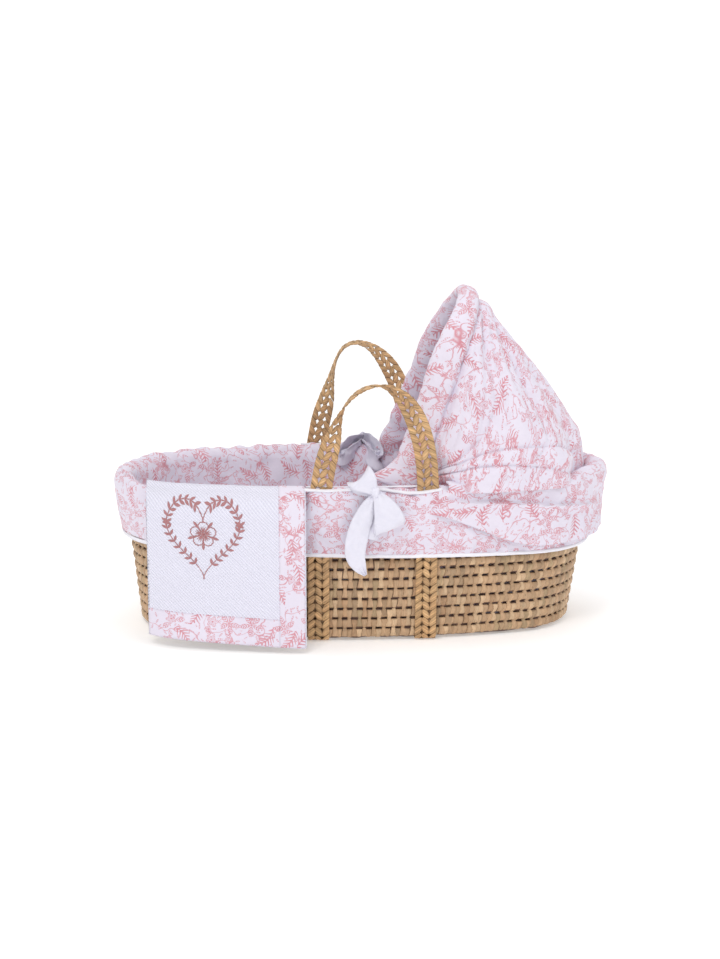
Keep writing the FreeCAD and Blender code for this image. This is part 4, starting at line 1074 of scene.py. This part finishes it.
class Drape:
    """The blanket's surface: x along the basket, s down its drape and a depth above the innermost layer."""

    def __init__(self):
        self.path = smooth_line(blanket_path(), 400)
        self.along = lengths(self.path)
        self.length = self.along[-1]
        normal = side_of(self.path)
        self.normal = -normal if normal[-1][0] > 0 else normal

    def at(self, x, s, depth):
        x, s, depth = np.broadcast_arrays(x, s, depth)
        y, z = columns_at(s, self.along, self.path)
        ny, nz = columns_at(s, self.along, self.normal)
        hanging = smoothstep(0.19, 0.42, s)
        wave = 0.0030 * wobble(np.stack([x, 0 * x, s * 0.35], -1), 0.085, 2.0) * hanging
        wave = wave + 0.0010 * wobble(np.stack([x, 0 * x, s], -1), 0.035, 6.0)
        over = depth + np.abs(wave)
        z = z + 0.034 * (BLANKET_HIGH[0] - x) * smoothstep(0.25, 1.0, s / self.length) ** 1.5
        return np.stack([x, y + over * ny + self.follow(x), z + over * nz], -1)

    def follow(self, x):
        """How far the rim's curve carries the cloth towards the middle plane, beside the blanket's middle."""
        return rim_y(BLANKET_MIDDLE, 0.02) - rim_y(x, 0.02)


def make_blanket(pique, toile, thread):
    drape = Drape()
    left, right = BLANKET_LOW[0] - 0.006, BLANKET_HIGH[0] - 0.003
    pitch = LAYER + AIR
    snake = []
    for layer in range(LAYERS):
        depth = (LAYERS - layer) * pitch
        ends = (right, left) if layer % 2 == 0 else (left, right)
        snake += [(x, depth) for x in np.linspace(*ends, BLANKET_STEPS)]
        if layer < LAYERS - 1:
            way = -1 if layer % 2 == 0 else 1
            snake += [(ends[1] + way * pitch / 2 * math.sin(a), depth - pitch / 2 * (1 - math.cos(a)))
                      for a in np.linspace(0, math.pi, 6)[1:-1]]
    snake = np.array(snake)
    u = lengths(snake)
    s = np.linspace(0, 1, BLANKET_ROWS)[:, None] * drape.length
    short = 0.0016 * np.floor((LAYERS * pitch - snake[:, 1]) / pitch + 0.5)[None, :]
    rows = np.clip(s - short * (s / drape.length), 0, drape.length)
    grid = drape.at(snake[:, 0], rows, snake[:, 1])
    uv = uv_grid(u, s[:, 0])
    body = cloth("folded_blanket", grid, LAYER, uv, pique, outward=facing(grid[:, :BLANKET_STEPS], BEHIND_DRAPE))
    finish_piece(body, "blanket", ["blanket_body"])
    top = LAYERS * pitch
    strips = {"right": (np.linspace(right - BORDER_WIDE, right + 0.0006, 14),
                        np.linspace(0.004, drape.length - 0.0005, BLANKET_ROWS)),
              "bottom": (np.linspace(left - 0.0006, right - BORDER_WIDE + 0.0012, BLANKET_STEPS),
                         np.linspace(drape.length - BORDER_DEEP, drape.length - 0.0003, 14))}
    for name, (xs, ss) in strips.items():
        xx, sv = np.meshgrid(xs, ss)
        edge = np.minimum(np.minimum(xx - xs[0], xs[-1] - xx), np.minimum(sv - ss[0], ss[-1] - sv))
        rise = top + 0.0003 + 0.0008 * smoothstep(0, 0.003, edge)
        grid = drape.at(xx, sv, rise)
        made = cloth(f"blanket_border_{name}", grid, 0.0007, np.stack([xx, sv], -1) + [0.11, 0.37], toile,
                     outward=facing(grid, BEHIND_DRAPE))
        finish_piece(made, "blanket", ["blanket_border"] if name == "right" else ())
    embroider(drape, top, thread)


GARLAND_SHIFT = 0.022                   # towards the foot end and up


def embroider(drape, top, thread):
    """A raised garland in the shape of a heart: paired leaves and small blossoms round a five-petalled flower."""
    mid_x, mid_z = centre("blanket_embroidery", 0), centre("blanket_embroidery", 2)
    mid_s = float(np.interp(-mid_z, -drape.path[200:, 1], drape.along[200:]))
    mid_x, mid_s = mid_x - GARLAND_SHIFT, mid_s - GARLAND_SHIFT
    rows, columns = 9, 5                                                # points of one petal
    points, faces, uv = [], [], []

    def petal(x, s, angle, length, width, rise=0.0011):
        """A satin-stitched leaf whose base is at (x, s), pointing along angle."""
        a, b = np.meshgrid(np.linspace(0, 1, rows), np.linspace(-1, 1, columns), indexing="ij")
        half = width / 2 * np.sin(math.pi * np.clip(a, 0.02, 0.98)) ** 0.8
        along, across = a * length, b * half
        px = x + along * math.cos(angle) - across * math.sin(angle)
        ps = s - along * math.sin(angle) - across * math.cos(angle)
        hill = rise * (1 - b**2) * np.sin(math.pi * a) ** 0.4
        low = drape.at(px, ps, top + 0.0001)
        high = drape.at(px, ps, top + 0.0002 + hill)
        start, under = len(points), len(points) + rows * columns
        points.extend(np.concatenate([high, low]).reshape(-1, 3).tolist())
        uv.extend(np.stack([along, across], -1).reshape(-1, 2).tolist() * 2)
        one = np.array(grid_faces(rows, columns))
        faces.extend((one + start).tolist() + (one[:, ::-1] + under).tolist())
        grid = np.arange(rows * columns).reshape(rows, columns)
        rim = [*grid[:, 0], *grid[-1, 1:], *grid[-2::-1, -1], *grid[0, -2:0:-1]]
        faces.extend((start + q, start + p, under + p, under + q) for p, q in zip(rim, rim[1:] + rim[:1]))

    def blossom(x, s, size, turn=0.0):
        for n in range(5):
            petal(x, s, turn + n * TURN / 5, size, size * 0.62)

    t = np.linspace(0.0, TURN, 49)[:-1]
    hx = 0.062 * np.sin(t) ** 3
    hz = (0.058 * np.cos(t) - 0.022 * np.cos(2 * t) - 0.009 * np.cos(3 * t) - 0.0045 * np.cos(4 * t)) * 1.03 + 0.006
    for n in range(len(t)):
        step = (hx[(n + 1) % len(t)] - hx[n - 1], hz[(n + 1) % len(t)] - hz[n - 1])
        way = math.atan2(step[1], step[0]) + (math.pi if hx[n] > 0 else 0)
        x, s = mid_x + hx[n], mid_s - hz[n]
        near_dip = abs(hx[n]) < 0.010
        if n % 8 == 4 and not near_dip:
            blossom(x, s, 0.0075, n)
        for lean in () if near_dip else (0.85, -0.85):
            petal(x, s, way + lean, 0.0115, 0.0046)
        reach = math.hypot(*step) / 2 + 0.0015
        petal(x, s, way, reach, 0.0016, 0.0006)
        petal(x, s, way + math.pi, reach, 0.0016, 0.0006)
    flower = mid_s - 0.006
    for n in range(5):
        angle = math.pi / 2 + n * TURN / 5
        cx, cs = mid_x + 0.0135 * math.cos(angle), flower - 0.0135 * math.sin(angle)
        for k in range(10):
            turn = angle + k * TURN / 10
            petal(cx + 0.0085 * math.cos(turn), cs - 0.0085 * math.sin(turn), turn + 1.75, 0.0068, 0.0021, 0.0008)
        rx, rs = mid_x + 0.003 * math.cos(angle), flower - 0.003 * math.sin(angle)
        for lean in (-0.35, 0, 0.35):
            petal(rx, rs, angle + lean, 0.0115, 0.0018, 0.0007)
    blossom(mid_x, flower, 0.0048, -math.pi / 2)
    for n in range(5):
        lean = -math.pi / 2 + n * TURN / 5
        petal(mid_x + 0.016 * math.cos(lean), flower - 0.016 * math.sin(lean), lean, 0.012, 0.0048)
    made = make_object("blanket_garland", points, faces, uv, None, thread)
    finish_piece(made, "blanket", ["blanket_embroidery"])


# ---------------------------------------------------------------- mattress
MATTRESS_STEPS, TOP_RINGS = 300, 44     # points round the mattress, and rings across its top


def make_mattress(material, piping):
    low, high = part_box("mattress_cover")
    mid = centre("mattress_cover", 0)
    turns = np.arange(MATTRESS_STEPS) / MATTRESS_STEPS

    def ring_at(grow, z, share=1.0):
        x, y = oval(turns, grow)[:2]
        return np.stack([x * share + mid, y * share, np.full(MATTRESS_STEPS, z)], -1)

    rings = [ring_at(-0.0352, high[2] - 0.0095 * smoothstep(0.90, 1.0, share) ** 1.5, share)
             for share in np.linspace(0.04, 1, TOP_RINGS) ** 0.75]
    rings += [ring_at(grow, z) for z, grow in (
        (high[2] - 0.014, -0.0333), (high[2] - 0.022, -0.0330), (low[2] + 0.012, -0.0330),
        (low[2] + 0.004, -0.0345), (low[2] + 0.001, -0.041))]
    grid = np.array(rings)
    pitch = 0.058                                                       # between the quilting's slanted lines
    a, b = (grid[..., 0] + grid[..., 1]) / pitch, (grid[..., 0] - grid[..., 1]) / pitch
    quilt = (np.abs(np.sin(math.pi * a)) * np.abs(np.sin(math.pi * b))) ** 0.45
    on_top = (np.arange(len(grid)) < TOP_RINGS - 2)[:, None]
    grid[..., 2] += on_top * (0.0050 * quilt - 0.0052 + 0.0006 * wobble(grid, 0.02, 3.0))
    uv = np.concatenate([grid[..., :2], grid[:, :1, :2]], 1)
    made = sweep("quilted_mattress", grid, uv, ring=True, material=material)
    cap_bowl(made, len(grid), MATTRESS_STEPS)
    finish_piece(made, "mattress", ["mattress_core", "mattress_cover"])
    rr, tt = ring_and_turns(8, turns)
    x, y = oval(tt, -0.0320 + 0.0016 * np.cos(rr))[:2]
    uv = uv_grid(np.arange(MATTRESS_STEPS + 1) * 0.007, np.arange(9) * 0.001)
    for node in ("mattress_piping_top", "mattress_piping_bottom"):
        points = np.stack([x + mid, y, centre(node, 2) + 0.0016 * np.sin(rr)], -1)
        tube = sweep(f"{node}_cord", points, uv, closed=True, ring=True, material=piping)
        finish_piece(tube, "mattress", [node])


# ---------------------------------------------------------------- cloth, print and metal materials
class Print(Shader):
    """A shader with the drawing steps of the botanical print. Masks are 1 where there is ink."""

    def both(self, *masks):
        made = masks[0]
        for mask in masks[1:]:
            made = self.math("MULTIPLY", made, mask)
        return made

    def either(self, *masks):
        made = masks[0]
        for mask in masks[1:]:
            made = self.math("MAXIMUM", made, mask)
        return made

    def in_cell(self, point, cell, channel):
        """The point about its cell's middle, turned by one channel of the cell's colour."""
        made = self.node("ShaderNodeVectorRotate", rotation_type="Z_AXIS")
        self.feed(made.inputs["Vector"], self.vector("SUBTRACT", point, cell["Position"]))
        self.feed(made.inputs["Angle"], self.math("MULTIPLY", self.parts(cell["Color"])[channel], TURN))
        return made.outputs[0]

    def leaf(self, x, y, middle, reach, width, hatch):
        """A hatched leaf along y, from middle - reach to middle + reach."""
        along = self.math("DIVIDE", self.math("SUBTRACT", y, middle), reach)
        half = self.math("MULTIPLY", self.math("SUBTRACT", 1.0, self.math("MULTIPLY", along, along)), width)
        side = self.math("ABSOLUTE", x)
        inside = self.below(self.math("SUBTRACT", side, half), 0.0, 0.010)
        outline = self.below(self.math("ABSOLUTE", self.math("SUBTRACT", side, half)), 0.007, 0.006)
        slant = self.math("MULTIPLY", self.math("SUBTRACT", y, side), hatch)
        lines = self.below(self.math("PINGPONG", slant, 0.5), 0.24, 0.10)
        within = self.below(self.math("ABSOLUTE", along), 1.0, 0.02)
        return self.both(within, self.either(outline, self.both(inside, lines)))

    def polar(self, local):
        x, y, _ = self.parts(local)
        return self.vector("LENGTH", self.joined(x, y)), self.math("ADD", self.math("ARCTAN2", y, x), math.pi)

    def leaves_round(self, reach, turn, count, *leaf):
        """A leaf in each of count even directions."""
        part = self.math("PINGPONG", self.math("MULTIPLY", turn, count / TURN), 0.5)
        around = self.math("MULTIPLY", part, TURN / count)
        x, y = (self.math("MULTIPLY", reach, self.math(way, around)) for way in ("SINE", "COSINE"))
        return self.leaf(x, y, *leaf)

    def fern(self, local):
        x, y, _ = self.parts(local)
        bent = self.math("ADD", x, self.math("MULTIPLY_ADD", self.math("MULTIPLY", y, y), 0.8, -0.06))
        side = self.math("ABSOLUTE", bent)
        share = self.math("DIVIDE", y, 0.46)
        width = self.math("MULTIPLY", self.math("SUBTRACT", 1.0, self.math("MULTIPLY", share, share)), 0.20)
        rows = self.math("PINGPONG", self.math("MULTIPLY", self.math("SUBTRACT", y, self.math("MULTIPLY", side, 0.9)),
                                                8.0), 0.5)
        taper = self.math("MULTIPLY_ADD", side, -0.9, 0.27)
        leaves = self.both(self.below(rows, taper, 0.05), self.below(side, width, 0.012))
        stem = self.both(self.below(side, 0.016, 0.010), self.below(self.math("ABSOLUTE", y), 0.46, 0.02))
        return self.either(leaves, stem)

    def blossom(self, local):
        reach, turn = self.polar(local)
        petal = self.math("MULTIPLY_ADD", self.math("COSINE", self.math("MULTIPLY", turn, 5.0)), 0.035, 0.150)
        edge = self.below(self.math("ABSOLUTE", self.math("SUBTRACT", reach, petal)), 0.011, 0.008)
        rays = self.both(self.below(self.math("PINGPONG", self.math("MULTIPLY", turn, 15 / TURN), 0.5), 0.17, 0.09),
                         self.below(reach, self.math("MULTIPLY", petal, 0.85), 0.01),
                         self.below(self.math("MULTIPLY", reach, -1.0), -0.055, 0.01))
        heart = self.below(reach, 0.035, 0.01)
        return self.either(edge, rays, heart, self.leaves_round(reach, turn, 3, 0.33, 0.15, 0.085, 11.0))

    def cluster(self, local):
        reach, turn = self.polar(local)
        return self.either(self.leaves_round(reach, turn, 5, 0.23, 0.20, 0.075, 12.0), self.below(reach, 0.03, 0.01))

    def toile(self, uv, cell_size=0.040):
        """Ferns, blossoms and leaf clusters in loose cells, joined by thin vines with small leaves."""
        warp = self.noise(uv, 14.0, 1.0)
        shift_ = self.scaled(self.vector("SUBTRACT", warp[1], (0.5, 0.5, 0.5)), 0.012)
        point = self.scaled(self.vector("ADD", uv, shift_), 1 / cell_size)
        cell = self.cells(point, 1.0, 0.7)
        pick = self.parts(cell["Color"])
        local = self.scaled(self.in_cell(point, cell, 0), 0.80)
        is_fern = self.below(pick[1], 0.42, 0.001)
        is_bloom = self.both(self.below(pick[1], 0.78, 0.001), self.math("SUBTRACT", 1.0, is_fern))
        is_leaf = self.math("SUBTRACT", self.math("SUBTRACT", 1.0, is_fern), is_bloom)
        motif = self.either(self.both(is_fern, self.fern(local)), self.both(is_bloom, self.blossom(local)),
                            self.both(is_leaf, self.cluster(local)))
        field = self.noise(point, 0.85, 1.5)[0]
        gap = self.math("ABSOLUTE", self.math("SUBTRACT", field, 0.5))
        finer = self.vector("ADD", self.scaled(point, 3.4), (7.3, 2.1, 0.0))
        sx, sy, _ = self.parts(self.in_cell(finer, self.cells(finer, 1.0, 0.9), 2))
        sprig = self.both(self.leaf(sx, sy, 0.0, 0.42, 0.11, 4.0), self.below(gap, 0.13, 0.012))
        return self.either(motif, self.below(gap, 0.0050, 0.006), sprig)


def toile_material():
    s = Print("botanical print on white cotton")
    uv = s.uv()
    ink = s.toile(uv)
    fade = s.math("MULTIPLY_ADD", s.noise(uv, 70.0, 2.0)[0], 0.9, 0.52, clamp=True)
    grain = s.noise(uv, 1500.0, 1.0)[0]
    white = s.mix(s.noise(uv, 9.0, 2.0)[0], (0.795, 0.745, 0.845, 1), (0.72, 0.67, 0.78, 1))
    pink = s.mix(s.noise(uv, 26.0, 1.0)[0], (0.58, 0.20, 0.25, 1), (0.70, 0.33, 0.38, 1))
    colour = s.mix(s.math("MULTIPLY", ink, fade), white, pink)
    wrinkle = s.noise(s.place(), 70.0, 3.0, 0.6)[0]
    height = s.math("MULTIPLY_ADD", grain, 0.10, wrinkle)
    return s.finish(colour, 0.88, s.bump(height, 0.5, 0.004), sheen_weight=0.18, sheen_roughness=0.5)


def cotton_material(name, colour, shade, bump=0.3, rough=0.85, sheen=0.15, scale=90.0):
    s = Shader(name)
    place = s.place()
    wide, fine = s.noise(place, scale, 3.0, 0.6)[0], s.noise(place, 1400.0, 1.0)[0]
    tone = s.mix(wide, colour, shade)
    height = s.math("MULTIPLY_ADD", fine, 0.15, wide)
    return s.finish(tone, rough, s.bump(height, bump, 0.003), sheen_weight=sheen, sheen_roughness=0.4)


def pique_material():
    """White cotton woven in small raised diagonal ribs, with painted shade in the hollows between them."""
    s = Shader("white pique")
    u, v, _ = s.parts(s.uv())
    rib = s.math("SINE", s.math("MULTIPLY", s.math("ADD", u, v), TURN / 0.0062))
    cross = s.math("SINE", s.math("MULTIPLY", s.math("SUBTRACT", u, v), TURN / 0.0062))
    waffle = s.math("MULTIPLY_ADD", s.math("MULTIPLY", rib, cross), 0.25, s.math("MULTIPLY", rib, 0.75))
    soft = s.noise(s.place(), 40.0, 2.0)[0]
    # painted shade: the cloth is darker where the ribs dip and lighter on their tops
    level = s.math("MULTIPLY_ADD", waffle, 0.5, 0.5)
    colour = s.mix(level, (0.70, 0.69, 0.83, 1), (0.86, 0.85, 0.95, 1))
    colour = s.mix(s.math("MULTIPLY", soft, 0.25), colour, (0.80, 0.79, 0.87, 1))
    height = s.math("MULTIPLY_ADD", soft, 0.8, waffle)
    return s.finish(colour, 0.9, s.bump(height, 0.7, 0.0011), sheen_weight=0.15, sheen_roughness=0.5)


def thread_material():
    s = Shader("dusty rose embroidery thread")
    u, v, _ = s.parts(s.uv())
    strand = s.math("SINE", s.math("MULTIPLY", s.math("ADD", u, s.math("ABSOLUTE", v)), TURN / 0.0011))
    # painted shade: the thread darkens in the grooves between the stitches, with the same pattern as the bump
    level = s.math("MULTIPLY_ADD", strand, 0.5, 0.5)
    colour = s.mix(level, (0.40, 0.155, 0.165, 1), (0.56, 0.27, 0.28, 1))
    return s.finish(colour, 0.5, s.bump(level, 0.6, 0.0005), sheen_weight=0.3, sheen_roughness=0.3)


def metal_material(name, colour, rough, scale):
    s = Shader(name)
    spots = s.noise(s.place(), scale, 4.0, 0.6)[0]
    tone = s.mix(spots, colour, tuple(c * 0.72 for c in colour[:3]) + (1,))
    return s.finish(tone, s.math("MULTIPLY_ADD", spots, 0.2, rough), s.bump(spots, 0.12, 0.0004), metallic=1.0)


def board_material():
    s = Shader("pressed base board")
    place = s.place()
    flakes = s.cells(s.scaled(place, 160.0), 1.0, 1.0)
    fleck = s.noise(s.scaled(place, 90.0), 1.0, 3.0)[0]
    colour = s.mix(s.parts(flakes["Color"])[0], (0.46, 0.33, 0.20, 1), (0.60, 0.46, 0.29, 1))
    colour = s.mix(s.math("MULTIPLY", fleck, 0.4), colour, (0.28, 0.19, 0.11, 1))
    return s.finish(colour, 0.8, s.bump(flakes["Distance"], 0.3, 0.0005))


def fibre_rim_material():
    """The rim's plaited palm cord, seen only where the liner is lifted: slanted strands from object space, with
    painted shade in the grooves between them.
    """
    s = Shader("plaited palm rim")
    x, y, z = s.parts(s.place())
    slant = s.math("ADD", s.math("ADD", x, y), s.math("MULTIPLY", z, 1.4))
    strand = s.math("PINGPONG", s.math("MULTIPLY", slant, 62.0), 0.5)
    fibre = s.noise(s.joined(s.math("MULTIPLY", slant, 400.0), s.math("MULTIPLY", z, 60.0)), 1.0, 3.0)[0]
    # painted shade: each strand darkens towards its edges, darkest in the groove between strands
    colour = s.mix(s.math("MULTIPLY", strand, 2.0), (0.22, 0.14, 0.07, 1), (0.60, 0.42, 0.23, 1))
    colour = s.mix(s.math("MULTIPLY", fibre, 0.5), colour, (0.42, 0.28, 0.14, 1))
    height = s.math("MULTIPLY_ADD", fibre, 0.3, strand)
    return s.finish(colour, 0.6, s.bump(height, 0.7, 0.003))


def dress_nodes(looks):
    """Gives the CAD nodes that stay in sight their own procedural materials."""
    for prefix, material in looks.items():
        for obj in bpy.data.objects:
            if obj.type == "MESH" and obj.name.startswith(prefix) and obj.name in frame["nodes"]:
                obj.data.materials.clear()
                obj.data.materials.append(material)


# ---------------------------------------------------------------- camera, light and floor
def area_light(name, place, target, size, power, colour=(1, 1, 1)):
    lamp = bpy.data.lights.new(name, "AREA")
    lamp.shape, lamp.size, lamp.energy, lamp.color = "SQUARE", size, power, colour
    made = bpy.data.objects.new(name, lamp)
    made.location = place
    made.rotation_euler = (Vector(target) - Vector(place)).to_track_quat("-Z", "Y").to_euler()
    bpy.context.scene.collection.objects.link(made)


def make_studio():
    scene = bpy.context.scene
    azimuth, elevation, distance = math.radians(-2.5), math.radians(11.7), 3.2
    aim = Vector((0.004, 0.0, 0.2515))
    camera = bpy.data.cameras.new("camera")
    camera.sensor_fit, camera.sensor_width, camera.lens = "HORIZONTAL", 36, 89
    seat = bpy.data.objects.new("camera", camera)
    seat.location = aim + distance * Vector((math.sin(azimuth) * math.cos(elevation),
                                             -math.cos(azimuth) * math.cos(elevation), math.sin(elevation)))
    seat.rotation_euler = (aim - seat.location).to_track_quat("-Z", "Y").to_euler()
    scene.collection.objects.link(seat)
    scene.camera = seat
    scene.view_settings.view_transform = "Standard"
    area_light("key", (-0.8, -2.0, 2.6), (0, 0, 0.25), 1.0, 26.5, (1.0, 0.985, 0.97))
    area_light("fill", (2.2, -1.5, 1.3), (0, 0, 0.25), 2.0, 6, (0.97, 0.98, 1.0))
    area_light("top", (0.2, 0.2, 2.6), (0, 0, 0.2), 1.6, 10)
    world = bpy.data.worlds.new("studio")
    world.use_nodes = True
    world.node_tree.nodes["Background"].inputs[0].default_value = (1.0, 1.0, 1.0, 1)
    world.node_tree.nodes["Background"].inputs[1].default_value = 0.71
    scene.world = world
    bend = [(5.0 + 0.8 * math.sin(a), 0.8 - 0.8 * math.cos(a)) for a in np.linspace(0, math.pi / 2, 12)]
    section = [(-5.0, 0.0)] + bend + [(5.8, 3.5)]
    grid = np.array([[(x, y, z) for x in (-8.0, 8.0)] for y, z in section])
    floor = make_object("studio_floor", grid, grid_faces(len(section), 2))
    s = Shader("studio floor")
    s.finish((0.90, 0.90, 0.90, 1), 0.95, emission_color=(1, 1, 1, 1), emission_strength=0.30)
    floor.data.materials.append(s.material)


# ---------------------------------------------------------------- the cradle
make_studio()
palm = palm_material("dried palm weave")
plait = palm_material("dried palm braid", dark=0.33, contrast=1.5)
toile = toile_material()
piping = cotton_material("white cotton piping", (0.90, 0.89, 0.94, 1), (0.82, 0.81, 0.88, 1))
sateen = cotton_material("white cotton ribbon", (0.80, 0.785, 0.87, 1), (0.70, 0.69, 0.80, 1), 0.3, 0.6, 0.2)
ticking = cotton_material("white quilted ticking", (0.88, 0.87, 0.90, 1), (0.80, 0.79, 0.84, 1), 0.25)

for course in range(1, COURSES + 1):
    woven_course(course, palm)
woven_base(palm)
for strap in ("strap_left", "strap_right"):
    braid(f"{strap}_braid", *strap_route(strap), plait, "basket", "palm_braid", [strap])
make_handles(plait)
make_liner(toile)
make_trim(piping)
make_valance(toile)
make_hood_band(toile)
make_canopy(toile)
make_pockets(toile)
make_bow("front", -1, sateen)
make_bow("rear", 1, sateen)
make_blanket(pique_material(), toile, thread_material())
make_mattress(ticking, piping)
dress_nodes({
    "rim_braid": fibre_rim_material(), "base_board": board_material(),
    "hood_hoop": metal_material("galvanised wire", (0.62, 0.63, 0.65, 1), 0.3, 120.0),
})
zinc = metal_material("zinc fittings", (0.66, 0.66, 0.68, 1), 0.25, 200.0)
dress_nodes({prefix: zinc for prefix in ("front_pivot", "rear_pivot", "front_bracket", "rear_bracket")})
